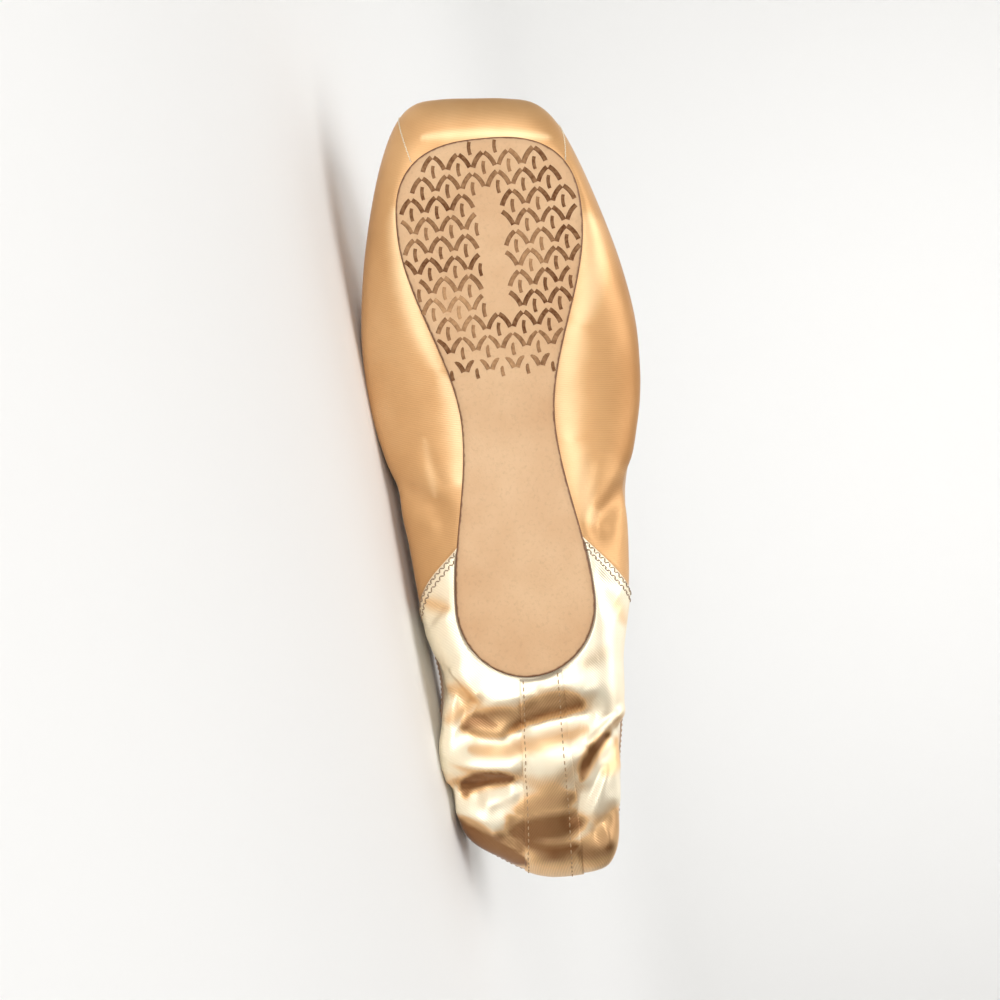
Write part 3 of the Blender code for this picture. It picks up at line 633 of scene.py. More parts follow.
def crease_height(points):
    """How far the creases lift the satin at each point, along its normal."""
    total = np.zeros(points.shape[:-1])
    for crease in CREASES:
        away, side, share = line_reach(points, curve_through(crease))
        width = crease.width / 1000
        signed = away * side / width
        width = width * (1 + crease.lean * np.tanh(2 * signed))
        taper = smooth_step(share / 0.3 + 0.25) * smooth_step((1 - share) / 0.3 + 0.25)
        total += CREASE_GAIN * crease.height / 1000 * np.exp(-((away / width) ** 2)) * taper
    return total


def painted_satin_shading(points, normals, start):
    """Painted light and shade of the satin at each point: 0 is pale, 0.5 is peach and 1 is brown."""
    deeper, paler = np.zeros(points.shape[:-1]), np.zeros(points.shape[:-1])
    # Darker patches are painted shade and paler ones painted highlight
    for tone in PAINTED_PATCHES:
        away, _, share = line_reach(points, curve_through(tone))
        fullness = np.sqrt(4 * share * (1 - share))
        width = tone.width / 1000 * (PATCH_END_WIDTH + PATCH_MIDDLE_WIDTH * fullness)
        change = tone.change * np.exp(-((away / width) ** tone.edge))
        deeper, paler = np.maximum(deeper, change), np.minimum(paler, change)
    # Painted patches fade out where the satin faces up, away from the outsole, and slack satin that faces
    # the heel's end gets painted shade
    seen = smooth_step((0.35 - normals[..., 2]) / 0.5)
    slack = smooth_step((0.010 - points[..., 0]) / 0.030)
    heelward = smooth_step((-normals[..., 0] - 0.10) / 0.60)
    return np.clip(start + (deeper + paler) * seen + HEEL_PAINTED_SHADE * heelward * slack, 0, 1)


def yarn_strength(normals, direction):
    """How strongly the yarns show: they fade where the satin turns square to their direction."""
    square = np.abs(normals @ unit(np.array(direction)))
    return 1.0 - smooth_step((square - YARN_FADE_FROM) / YARN_FADE_OVER)


def ripple_height(points, depth):
    """Small uneven ripples, deepest where the heel is slack."""
    slack = 0.25 + 0.75 * smooth_step((0.03 - points[..., 0]) / 0.05)
    stiff = smooth_step((points[..., 0] / SOLE_LENGTH - BOX_TO) / (BOX_FROM - BOX_TO))
    wave = []
    for x, y, z in points.reshape(-1, 3):
        broad = noise.noise(Vector((x * 90, y * 160, z * 70)))
        fine = noise.noise(Vector((x * 210, y * 260, z * 150)))
        wave.append(broad + 0.5 * fine)
    return depth * np.array(wave).reshape(points.shape[:-1]) * slack * (1 - 0.85 * stiff)


def wall_thickness(points, low):
    """The upper's wall: thick round the toe box, cloth behind it and where it is lasted under."""
    x = points[..., 0] / SOLE_LENGTH
    stiff = smooth_step((x - BOX_TO) / (BOX_FROM - BOX_TO)) * smooth_step(low / 0.6)[None, :]
    return CLOTH_WALL + (BOX_WALL - CLOTH_WALL) * stiff


def fold_freedom(low):
    """Where the CAD part's folds may lift the satin: away from the outsole's edge and the collar."""
    return smooth_step(low / 0.35) * smooth_step((2.0 - low) / 0.8)


def floor_normal():
    """The floor's normal in the shoe's frame: it touches the -y side at the ball and at the heel."""
    turn = grid_turns(COARSE)[0]
    points = upper_grid(turn, COARSE)
    free = fold_freedom(column_share(COARSE))
    cloud = points + grid_normals(points) * (fold_height(points) * free[None, :])[..., None]
    cloud = cloud.reshape(-1, 3)
    ball_side = cloud[:, 0] > SOLE_LENGTH * WAIST_AT
    flat, tilt = math.cos(FLOOR_ROLL), -math.sin(FLOOR_ROLL)
    low, high = 0.0, MOST_YAW
    for _ in range(TRIES):
        yaw = (low + high) / 2
        normal = np.array([math.sin(yaw) * flat, math.cos(yaw) * flat, tilt])
        height = cloud @ normal
        if height[ball_side].min() < height[~ball_side].min():
            low = yaw
        else:
            high = yaw
    return normal


@lru_cache(maxsize=None)
def lying_pose():
    """The matrix that lays the shoe down where the CAD part's outsole lies."""
    up = Vector(floor_normal())
    forward = Vector((1, 0, 0)) - up * up.x
    world_x = -forward.normalized()
    turn = Matrix((world_x, up.cross(world_x), up))
    outline = half_outline()
    x = np.concatenate([outline[:, 0]] * 2)
    y = np.concatenate([outline[:, 1], -outline[:, 1]])
    faces = [np.stack([x, y, arch(x) + z], axis=1) for z in (0.0, SOLE_THICKNESS)]
    corners = np.concatenate(faces) @ np.array(turn).T
    box = np.array(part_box("outsole"))
    shift = (box[0] + box[1] - corners.min(0) - corners.max(0)) / 2
    return Matrix.Translation(shift) @ turn.to_4x4()


def to_world(points):
    """Points of the shoe's frame where the laid-down shoe has them."""
    pose = np.array(lying_pose())
    return points @ pose[:3, :3].T + pose[:3, 3]


def to_shoe(points):
    """The inverse of to_world."""
    pose = np.array(lying_pose())
    return (points - pose[:3, 3]) @ pose[:3, :3]


def on_floor(points, clearance=0.0):
    """Points of the shoe's frame, with what would pass through the floor laid on it."""
    laid = to_world(points)
    laid[..., 2] = np.maximum(laid[..., 2], clearance)
    return to_shoe(laid)


def bowed(points, turn, low):
    """The grid with its rows near the quarters' front edges bowed towards the toe."""
    reach = once_round(turn)
    full = np.concatenate([reach, [2 * LAST_RIB]])
    closed = np.concatenate([points, points[:1]])
    bow = np.where(low < 1, np.sin(math.pi * np.clip(low, 0, 1)), 0)
    moved = points.copy()
    for column, amount in enumerate(bow):
        if amount < 1e-6:
            continue
        shift = np.zeros_like(reach)
        for side, centre in ((1, SEAM_RIB), (-1, 2 * LAST_RIB - SEAM_RIB)):
            near = np.clip(1 - np.abs(reach - centre) / BOW_REACH, 0, 1)
            shift -= side * SEAM_BOW[side] * amount * smooth_step(near)
        for axis in range(3):
            moved[:, column, axis] = np.interp(reach + shift, full, closed[:, column, axis])
    return moved


def behind_seam(points, right, left):
    """Distance behind the quarters' front edges along each column, below 0 on the forepart."""
    steps = np.linalg.norm(np.diff(points, axis=0), axis=2)
    run = np.concatenate([np.zeros((1, points.shape[1])), np.cumsum(steps, axis=0)])
    rows = np.arange(len(points))[:, None]
    middle = (right + left) // 2
    return np.where(rows <= middle, run - run[right], run[left] - run)


@lru_cache(maxsize=None)
def satin_surface(crease_depth, ripple_depth, lap):
    """The upper's fine surfaces in the shoe's frame, which all the satin pieces share."""
    turn, right_edge, left_edge = grid_turns(FINE)
    low = column_share(FINE)
    points = bowed(upper_grid(turn, FINE), turn, low)
    normal = grid_normals(points)
    away = np.linalg.norm(points - points[:, [FINE.margin]], axis=2)
    away[:, : FINE.margin] = 0.0
    held = smooth_step(away / HELD_REACH)
    free = held * smooth_step((2.0 - low) / 0.8)[None, :]
    lift = fold_height(points) * fold_freedom(low)[None, :] + crease_height(points) * free * crease_depth
    ripple_free = held * smooth_step((2.6 - low) / 0.8)[None, :]
    lift += ripple_height(points, ripple_depth) * ripple_free
    smooth = points + normal * lift[..., None]
    right = FINE.toe + 1
    left = len(turn) - right
    distance = behind_seam(smooth, right, left)
    edge = smooth_step(distance / LAP_SLOPE + 0.5) * (low > 0)[None, :]
    walls = wall_thickness(points, low)
    inner = smooth - normal * walls[..., None]
    outer = smooth + normal * (lap * edge)[..., None]
    room = (GAP + BINDING_THICKNESS) * (low >= 2.0)
    outer = on_floor(outer, room[None, :])
    inner = on_floor(inner, walls + room[None, :])
    strip_rows = np.where((turn >= right_edge - 1e-9) | (turn <= -left_edge + 1e-9))[0]
    return Surface(turn, low, outer, inner, grid_normals(outer), right, left, strip_rows)


def shoe_surface():
    """The shared surfaces for the sizes that are set in the scene."""
    sizes = bpy.context.scene.shoe_sizes
    return satin_surface(sizes.crease_depth, sizes.ripple_depth, sizes.quarter_lap)


def band_start(surface):
    """The last column of the grid below the binding."""
    return int(np.where(surface.low > 2.0)[0][0]) - 1


def sampled(grid, rows, columns):
    """Values of a grid between its rows and columns."""
    rows, columns = np.asarray(rows, float), np.asarray(columns, float)
    row, column = np.floor(rows).astype(int), np.floor(columns).astype(int)
    column = np.minimum(column, grid.shape[1] - 2)
    a, b = (rows - row)[:, None], (columns - column)[:, None]
    row, after = row % len(grid), (row + 1) % len(grid)
    near = grid[row, column] * (1 - b) + grid[row, column + 1] * b
    far = grid[after, column] * (1 - b) + grid[after, column + 1] * b
    return near * (1 - a) + far * a


def ring_faces(rows, columns, closed_rows=True, closed_columns=False, start=0, turned=False):
    """Quads of a grid, which may close on itself either way."""
    faces = []
    for i in range(rows if closed_rows else rows - 1):
        for j in range(columns if closed_columns else columns - 1):
            i2, j2 = (i + 1) % rows, (j + 1) % columns
            quad = (i * columns + j, i2 * columns + j, i2 * columns + j2, i * columns + j2)
            quad = tuple(start + corner for corner in quad)
            faces.append(quad[::-1] if turned else quad)
    return faces


def double_faces(rows, columns, closed=True):
    """Faces of a grid with two sides: the outer, the inner, and the rims between them."""
    size = rows * columns
    faces = ring_faces(rows, columns, closed)
    faces += ring_faces(rows, columns, closed, start=size, turned=True)
    for i in range(rows if closed else rows - 1):
        for j, order in ((0, 1), (columns - 1, -1)):
            here, ahead = i * columns + j, (i + 1) % rows * columns + j
            faces.append((here, here + size, ahead + size, ahead)[::order])
    if not closed:
        for j in range(columns - 1):
            for i, order in ((0, 1), (rows - 1, -1)):
                here, ahead = i * columns + j, i * columns + j + 1
                faces.append((here, ahead, ahead + size, here + size)[::order])
    return faces


def add_object(name, data):
    """A new object in the scene."""
    made = bpy.data.objects.new(name, data)
    bpy.context.scene.collection.objects.link(made)
    return made


def add_mesh(name, points, faces):
    """A mesh object in the scene, from points and faces."""
    mesh = bpy.data.meshes.new(name)
    mesh.from_pydata([tuple(map(float, p)) for p in points], [], faces)
    return add_object(name, mesh)


def add_piece(name, points, faces, finishes, face_finish=None):
    """A mesh object of the laid-down shoe, from points of the shoe's frame."""
    piece = add_mesh(name, to_world(np.asarray(points, float).reshape(-1, 3)), faces)
    for finish in finishes:
        piece.data.materials.append(finish)
    if face_finish is not None:
        piece.data.polygons.foreach_set("material_index", np.asarray(face_finish, np.int32))
    piece.data.shade_smooth()
    return piece


def place_on_frame(piece, slot, *nodes):
    """The piece rides on the shoe's one body and stands for CAD nodes, which it hides; its slot is not
    used.
    """
    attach(piece, "root")
    if nodes:
        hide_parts(*nodes)


class Nodes:
    """Short calls for building a node tree."""

    def __init__(self, tree):
        self.tree = tree

    def put(self, socket, value):
        """Links a socket to the one that gives its value, or sets the value itself."""
        if isinstance(value, bpy.types.NodeSocket):
            self.tree.links.new(value, socket)
        else:
            socket.default_value = value

    def node(self, kind, inputs=None, **settings):
        """A node with its settings, and values or links for its inputs."""
        made = self.tree.nodes.new(kind)
        for name, value in settings.items():
            setattr(made, name, value)
        for name, value in (inputs or {}).items():
            self.put(made.inputs[name], value)
        return made

    def first(self, kind, inputs=None, **settings):
        """The first output of a new node."""
        return self.node(kind, inputs, **settings).outputs[0]

    def math(self, operation, a, b=0.0, c=0.0):
        return self.first("ShaderNodeMath", {0: a, 1: b, 2: c}, operation=operation)

    def vector(self, x, y, z):
        return self.first("ShaderNodeCombineXYZ", {0: x, 1: y, 2: z})


class Finish(Nodes):
    """Short calls for building one material's nodes."""

    def __init__(self, name):
        self.material = bpy.data.materials.new(name)
        self.material.use_nodes = True
        super().__init__(self.material.node_tree)
        self.place = self.node("ShaderNodeTexCoord").outputs["Object"]

    def noise(self, scale, detail=3.0, roughness=0.5):
        inputs = {"Vector": self.place, "Scale": scale, "Detail": detail, "Roughness": roughness}
        return self.node("ShaderNodeTexNoise", inputs).outputs["Fac"]

    def spread(self, value, low, high, to_low=0.0, to_high=1.0):
        """A value between low and high, spread over another range."""
        inputs = {"Value": value, "From Min": low, "From Max": high, "To Min": to_low, "To Max": to_high}
        return self.node("ShaderNodeMapRange", inputs, clamp=True).outputs["Result"]

    def cloud(self, scale, detail, low, high, roughness=0.5):
        """Soft spots, 0 to 1: noise, spread from low to high."""
        return self.spread(self.noise(scale, detail, roughness), low, high)

    def mix(self, share, a, b):
        """A colour between a and b."""
        made = self.node("ShaderNodeMix", {0: share, 6: a, 7: b}, data_type="RGBA")
        return made.outputs[2]

    def tinted(self, tint, where, amount, colour):
        """A tint, with an amount of another colour over it where a value is high."""
        return self.mix(self.math("MULTIPLY", where, amount), tint, colour)

    def stripes(self, direction, pitch, warp=None):
        """Even yarns, 0 to 1, across a direction of the shoe's frame."""
        world = lying_pose().to_3x3() @ Vector(direction).normalized()
        step = world * (2 * math.pi / pitch)
        inputs = {0: self.place, 1: tuple(step)}
        dot = self.node("ShaderNodeVectorMath", inputs, operation="DOT_PRODUCT")
        phase = dot.outputs["Value"]
        if warp is not None:
            phase = self.math("ADD", phase, warp)
        return self.math("MULTIPLY_ADD", self.math("SINE", phase), 0.5, 0.5)

    def attribute(self, name):
        """A number that the mesh carries at its points."""
        return self.node("ShaderNodeAttribute", attribute_name=name).outputs["Fac"]

    def done(self, colour, roughness, height, depth, strength=1.0, **more):
        """The material with its colour and roughness, and a bump of a real depth in metres."""
        inputs = {"Height": height, "Distance": depth, "Strength": strength}
        values = {"Base Color": colour, "Roughness": roughness}
        values["Normal"] = self.node("ShaderNodeBump", inputs).outputs["Normal"]
        for name, value in more.items():
            values[name.replace("_", " ")] = value
        for name, value in values.items():
            self.put(self.tree.nodes["Principled BSDF"].inputs[name], value)
        return self.material


def rgba(colour):
    """A colour property with full cover."""
    return (*colour, 1.0)


def shade(colour, factor):
    """A darker or lighter colour."""
    return tuple(min(c * factor, 1.0) for c in colour[:3]) + (1.0,)


def satin(name, tones, direction, pitch, depth, gloss):
    """Satin: yarns across a direction, a soft metallic gloss, and colours mixed by the painted shading
    that the mesh carries.
    """
    pale, deep, turned = tones
    roughness, metallic, sheen = gloss
    make = Finish(name)
    warp = make.spread(make.noise(900.0, 2.0), 0.3, 0.7, -0.5, 0.5)
    yarn = make.math("MULTIPLY", make.stripes(direction, pitch, warp), make.attribute("yarn"))
    cloud = make.cloud(38.0, 3.0, 0.35, 0.65)
    thread = make.noise(2600.0, 1.0)
    # The stored painted light and shade, with a little random tone, picks the colour from pale to the
    # turned colour of painted shade; the yarn lines darken more where the painted shade is deeper
    nap_and_painted_shading = make.math("ADD", make.attribute("nap_and_painted_shading"), make.spread(cloud, 0, 1, -0.05, 0.07))
    tint = make.mix(make.spread(nap_and_painted_shading, 0.0, 0.5), rgba(pale), rgba(deep))
    tint = make.mix(make.spread(nap_and_painted_shading, 0.5, 1.0), tint, rgba(turned))
    line = make.spread(nap_and_painted_shading, 0.0, 1.0, 0.05, 0.30)
    tint = make.tinted(tint, yarn, line, shade(turned, 0.8))
    grain = make.math("MULTIPLY_ADD", cloud, 0.06, roughness)
    more = {"Sheen_Weight": sheen, "Sheen_Roughness": 0.35, "Sheen_Tint": (1.0, 0.90, 0.78, 1.0)}
    rough = make.math("MULTIPLY_ADD", thread, 0.05, grain)
    height = make.math("MULTIPLY_ADD", thread, 0.25, yarn)
    return make.done(tint, rough, height, depth, Metallic=metallic, **more)


def forepart_satin(colours, sizes):
    """Satin of the forepart, with fine ribs across the shoe."""
    tones = (colours.forepart_painted_highlight, colours.forepart, colours.forepart_painted_shade)
    return satin("forepart_satin", tones, RIB_DIRECTION, sizes.rib_pitch, 0.00003, (0.38, 0.40, 0.15))


def quarter_satin(name, direction, colours, sizes):
    """The brighter satin of the quarters and the heel strip, with a diagonal twill."""
    tones = (colours.quarter_pale, colours.quarter, colours.quarter_painted_shade)
    return satin(name, tones, direction, sizes.twill_pitch, 0.00006, (0.30, 0.58, 0.12))


def lining_cloth(colour):
    """Plain woven cotton, matt."""
    make = Finish("lining_cotton")
    warp, weft = (make.stripes(way, 0.0009) for way in ((1.0, 0.0, 0.2), (0.0, 1.0, 1.0)))
    weave = make.math("MULTIPLY", warp, weft)
    worn = make.cloud(30.0, 4.0, 0.35, 0.7)
    tint = make.tinted(rgba(colour), worn, 0.35, shade(colour, 0.78))
    tint = make.tinted(tint, weave, 0.15, shade(colour, 0.7))
    return make.done(tint, make.spread(worn, 0, 1, 0.85, 0.95), weave, 0.00012, Sheen_Weight=0.1)


def sole_leather(colours):
    """Worn tan leather: mottled, finely grained, with a dark burnished edge."""
    make = Finish("sole_leather")
    from_edge = make.attribute("from_edge")
    uneven = make.spread(make.noise(420.0, 3.0), 0.3, 0.7, -0.00018, 0.00022)
    burnt = make.spread(make.math("ADD", from_edge, uneven), 0.0004, 0.0010, 1.0, 0.0)
    warm = make.spread(from_edge, 0.0006, 0.0030, 0.35, 0.0)
    cloud = make.cloud(26.0, 4.0, 0.35, 0.68, 0.6)
    speck = make.cloud(700.0, 4.0, 0.52, 0.74, 0.7)
    tint = make.mix(cloud, rgba(colours.leather), rgba(colours.leather_deep))
    tint = make.tinted(tint, speck, 0.32, shade(colours.leather_deep, 0.62))
    tint = make.mix(warm, tint, shade(colours.leather_deep, 0.72))
    tint = make.mix(burnt, tint, rgba(colours.burnish))
    height = make.math("MULTIPLY_ADD", make.noise(160.0, 3.0), 1.2, make.noise(1500.0, 4.0, 0.6))
    return make.done(tint, make.spread(cloud, 0, 1, 0.50, 0.62), height, 0.00010, 0.6)


def print_ink(colours):
    """The burnt-in pattern of the tread, darker where it went deeper."""
    make = Finish("tread_print")
    worn = make.cloud(520.0, 3.0, 0.35, 0.65, 0.6)
    pale = make.math("MULTIPLY_ADD", worn, 0.30, make.attribute("fade"))
    tint = make.mix(pale, rgba(colours.tread_print), rgba(colours.leather_deep))
    rough, height = make.spread(worn, 0, 1, 0.75, 0.85), make.noise(1400.0, 3.0)
    return make.done(tint, rough, height, 0.00006, 0.5, Specular_IOR_Level=0.1)


def ribbed_elastic(colour):
    """Elastic with fine cross yarns between its lengthwise ribs, and painted shade in its grooves and at
    its edges.
    """
    make = Finish("ribbed_elastic")
    cloud = make.cloud(60.0, 3.0, 0.35, 0.65)
    tint = make.tinted(rgba(colour), cloud, 0.3, shade(colour, 0.8))
    # Painted shade, darkest in the grooves between the ribs and along the binding's edges
    tint = make.tinted(tint, make.attribute("groove_and_painted_shade"), 0.55, shade(colour, 0.42))
    yarn = make.stripes((1.0, 0.3, 0.2), 0.0006)
    return make.done(tint, make.spread(cloud, 0, 1, 0.55, 0.68), yarn, 0.00006, Sheen_Weight=0.2)


def sewing_thread(name, colour):
    """Twisted thread with a slight gloss."""
    make = Finish(name)
    twist = make.stripes((1.0, 0.9, 0.5), 0.00035)
    tone = make.cloud(150.0, 2.0, 0.3, 0.7)
    tint = make.mix(tone, rgba(colour), shade(colour, 0.72))
    tint = make.tinted(tint, twist, 0.3, shade(colour, 0.5))
    return make.done(tint, make.spread(tone, 0, 1, 0.45, 0.6), twist, 0.00005)


def suede(colour):
    """The insole's napped upper face."""
    make = Finish("insole_suede")
    nap_and_painted_shading = make.noise(1800.0, 4.0, 0.7)
    worn = make.cloud(22.0, 4.0, 0.4, 0.7)
    tint = make.mix(worn, rgba(colour), shade(colour, 0.74))
    tint = make.tinted(tint, nap_and_painted_shading, 0.25, shade(colour, 0.6))
    return make.done(tint, make.spread(worn, 0, 1, 0.92, 0.8), nap_and_painted_shading, 0.00015, Sheen_Weight=0.3)


def backdrop_paper(colour):
    """Plain pale paper."""
    make = Finish("backdrop_paper")
    grain = make.noise(320.0, 2.0)
    tint = make.tinted(rgba(colour), grain, 0.05, shade(colour, 0.9))
    return make.done(tint, make.spread(grain, 0, 1, 0.6, 0.7), grain, 0.00005, 0.3)


class Shape(Nodes):
    """Short calls for building a Geometry Nodes tree that sets one shape on every point."""

    def __init__(self, name, lengths, coat):
        super().__init__(bpy.data.node_groups.new(name, "GeometryNodeTree"))
        inputs = [("Geometry", "Geometry"), *((label, "Float") for label in lengths), (coat, "Material")]
        for label, kind in inputs:
            self.tree.interface.new_socket(label, in_out="INPUT", socket_type="NodeSocket" + kind)
        self.tree.interface.new_socket("Geometry", in_out="OUTPUT", socket_type="NodeSocketGeometry")
        self.points, *self.lengths, self.coat = list(self.node("NodeGroupInput").outputs)[: len(inputs)]

    def arc(self, steps, start, middle, end):
        inputs = {"Resolution": steps, "Start": start, "Middle": middle, "End": end}
        return self.first("GeometryNodeCurveQuadraticBezier", inputs)

    def ring(self, steps, radius):
        return self.first("GeometryNodeCurvePrimitiveCircle", {"Resolution": steps, "Radius": radius})

    def tube(self, curve, ring):
        inputs = {"Curve": curve, "Profile Curve": ring, "Fill Caps": True}
        return self.first("GeometryNodeCurveToMesh", inputs)

    def scaled(self, shape, scale):
        return self.first("GeometryNodeTransform", {"Geometry": shape, "Scale": scale})

    def attribute(self, name):
        """A vector that the points carry."""
        kind = "GeometryNodeInputNamedAttribute"
        return self.first(kind, {"Name": name}, data_type="FLOAT_VECTOR")

    def done(self, shape):
        """The tree, with the shape turned and stretched as each point says, as one real mesh."""
        turn = self.first("FunctionNodeEulerToRotation", {0: self.attribute("turn")})
        inputs = {"Points": self.points, "Instance": shape, "Rotation": turn}
        inputs["Scale"] = self.attribute("stretch")
        shape = self.first("GeometryNodeInstanceOnPoints", inputs)
        for kind in ("GeometryNodeRealizeInstances", "GeometryNodeSetShadeSmooth"):
            shape = self.first(kind, {0: shape})
        shape = self.first("GeometryNodeSetMaterial", {0: shape, "Material": self.coat})
        self.node("NodeGroupOutput", {0: shape})
        return self.tree


def stitch_tree():
    """One bowed, rounded stitch on every point."""
    make = Shape("stitches", ("Stitch length", "Thread thickness", "Stitch bow"), "Thread")
    length, thread, bow = make.lengths
    half = make.math("MULTIPLY", length, 0.5)
    back = make.math("MULTIPLY", half, -1.0)
    sunk = make.math("MULTIPLY", thread, -0.5)
    ends = [make.vector(x, 0.0, sunk) for x in (back, half)]
    arc = make.arc(6, ends[0], make.vector(0.0, 0.0, bow), ends[1])
    return make.done(make.tube(arc, make.ring(6, make.math("MULTIPLY", thread, 0.5))))


def stroke_tree():
    """One flat, pointed, slightly curved stroke on every point."""
    make = Shape("tread_strokes", ("Stroke length", "Stroke width", "Stroke height"), "Ink")
    length, width, height = make.lengths
    arc = make.arc(10, (-0.5, 0, 0), (0.05, 0.16, 0), (0.5, 0, 0))
    share = make.node("GeometryNodeSplineParameter").outputs["Factor"]
    swell = make.math("SINE", make.math("MULTIPLY", share, math.pi))
    full = make.math("MULTIPLY_ADD", swell, 0.94, 0.06)
    swollen = make.first("GeometryNodeSetCurveRadius", {"Curve": arc, "Radius": full})
    half = make.math("MULTIPLY", make.math("DIVIDE", width, length), 0.5)
    ring = make.scaled(make.ring(8, 1.0), make.vector(half, half, half))
    flat = make.math("MULTIPLY", make.math("DIVIDE", height, width), length)
    return make.done(make.scaled(make.tube(swollen, ring), make.vector(length, length, flat)))


def store(piece, name, values, kind="FLOAT"):
    """Stores a number, or a vector, at each of a piece's points."""
    layer = piece.data.attributes.new(name, kind, "POINT")
    field = "value" if kind == "FLOAT" else "vector"
    layer.data.foreach_set(field, np.asarray(values, np.float32).reshape(-1))


def repeat_on_points(name, tree, values, places, stretch, fade=None):
    """A plain mesh of a tree's shape, set at points of the shoe's frame along lines on a surface."""
    points, lines, normals = places
    pose = np.array(lying_pose())[:3, :3]
    up = unit(normals @ pose.T)
    ahead = unit(lines @ pose.T)
    ahead = unit(ahead - up * (ahead * up).sum(axis=1, keepdims=True))
    across = np.cross(up, ahead)
    turns = [Matrix((a, b, c)).transposed().to_euler() for a, b, c in zip(ahead, across, up)]
    piece = add_mesh(name, to_world(points), [])
    store(piece, "turn", turns, "FLOAT_VECTOR")
    store(piece, "stretch", stretch, "FLOAT_VECTOR")
    if fade is not None:
        store(piece, "fade", fade)
    modifier = piece.modifiers.new(name, "NODES")
    modifier.node_group = tree
    sockets = {s.name: s.identifier for s in tree.interface.items_tree if s.in_out == "INPUT"}
    for label, value in values.items():
        modifier[sockets[label]] = value
    graph = bpy.context.evaluated_depsgraph_get()
    real = bpy.data.meshes.new_from_object(piece.evaluated_get(graph))
    piece.modifiers.remove(modifier)
    spent, piece.data = piece.data, real
    bpy.data.meshes.remove(spent)
    real.name = name
    if not real.polygons:
        raise RuntimeError(name + " has no faces")
    return piece


def stitch_places(line, normals, pitch, swing):
    """Centres, directions and normals of stitches along a line, turned by swing one by one."""
    run = run_length(line)
    places = np.arange(0.5 * pitch, run[-1] - 0.3 * pitch, pitch)
    ahead = between(places, run, unit(np.gradient(line, axis=0)))
    up = unit(between(places, run, normals))
    across = np.cross(up, ahead)
    turn = np.where(np.arange(len(places)) % 2 == 0, swing, -swing)[:, None]
    ahead = np.cos(turn) * unit(ahead) + np.sin(turn) * unit(across)
    return between(places, run, line), ahead, up


def length_property(name, description, default):
    """A length that a user may change."""
    return FloatProperty(name=name, description=description, default=default, unit="LENGTH")


def colour_property(name, description, default):
    """A colour that a user may change."""
    return FloatVectorProperty(
        name=name, description=description, default=default, size=3, subtype="COLOR", min=0.0, max=1.0
    )


class ShoeSizes(bpy.types.PropertyGroup):
    """Sizes of the shoe's finish that a user may change."""

    crease_depth: FloatProperty(
        name="Crease depth",
        description="Depth of the creases placed by hand, as a share of their own",
        default=1.0,
        min=0.0,
        max=2.0,
        subtype="FACTOR",
    )
    ripple_depth: length_property("Ripple depth", "Depth of the ripples in the slack satin", 0.00022)
    quarter_lap: length_property("Quarter lap", "How far the quarters stand above the forepart", 0.0009)
    rib_pitch: length_property("Rib pitch", "From one rib of the forepart's satin to the next", 0.0007)
    twill_pitch: length_property("Twill pitch", "Between the lines of the quarters' satin", 0.0008)
    stitch_pitch: length_property("Stitch pitch", "From one stitch of the strip to the next", 0.0029)
    zigzag_pitch: length_property("Zigzag pitch", "From one stitch of a zigzag row to the next", 0.0015)
    thread_thickness: length_property("Thread thickness", "Thickness of the sewing thread", 0.00052)
    elastic_ribs: IntProperty(
        name="Elastic ribs",
        description="Number of lengthwise ribs of the collar binding",
        default=8,
        min=2,
        max=16,
    )
    tread_pitch: length_property("Tread pitch", "From one motif of the tread print to the next", 0.0104)
    lamp_power: FloatProperty(
        name="Lamp power",
        description="Power of the large soft lamp beside the camera",
        default=16.7,
        unit="POWER",
    )
    camera_distance: length_property("Camera distance", "From the outsole to the camera", 0.9)


class ShoeColours(bpy.types.PropertyGroup):
    """Colours of the shoe's finish that a user may change."""

    # Satin colours that the painted shading mixes between: the forepart's pale is painted highlight, and
    # the turned colours are painted shade
    forepart_painted_highlight: colour_property("Forepart, pale", "Where its satin shines", (0.92, 0.63, 0.34))
    forepart: colour_property("Forepart", "Satin of the forepart", (0.66, 0.37, 0.155))
    forepart_painted_shade: colour_property("Forepart, turned", "Where its nap turns", (0.42, 0.20, 0.06))
    quarter_pale: colour_property("Quarters, pale", "Where their satin shines", (1.0, 0.90, 0.69))
    quarter: colour_property("Quarters", "Satin of the quarters", (0.90, 0.57, 0.28))
    quarter_painted_shade: colour_property("Quarters, turned", "Where their nap turns", (0.26, 0.11, 0.036))
    lining: colour_property("Lining", "Cotton lining", (0.80, 0.70, 0.54))
    insole: colour_property("Insole", "Suede of the insole", (0.72, 0.60, 0.45))
    leather: colour_property("Leather", "Outsole leather", (0.68, 0.44, 0.24))
    leather_deep: colour_property("Leather, deep", "Its mottling", (0.60, 0.355, 0.18))
    burnish: colour_property("Burnish", "Burnished edge of the outsole", (0.16, 0.065, 0.025))
    tread_print: colour_property("Tread print", "Burnt-in tread pattern", (0.12, 0.042, 0.014))
    elastic: colour_property("Elastic", "Collar binding", (0.62, 0.42, 0.30))
    thread: colour_property("Thread", "Thread of the heel strip", (0.52, 0.33, 0.17))
    toe_thread: colour_property("Toe thread", "Thread of the toe's seams", (0.95, 0.84, 0.62))
    seam_thread: colour_property("Seam thread", "Thread of the quarters' seams", (0.38, 0.26, 0.16))
    backdrop: colour_property("Backdrop", "Floor and backdrop paper", (0.86, 0.86, 0.85))


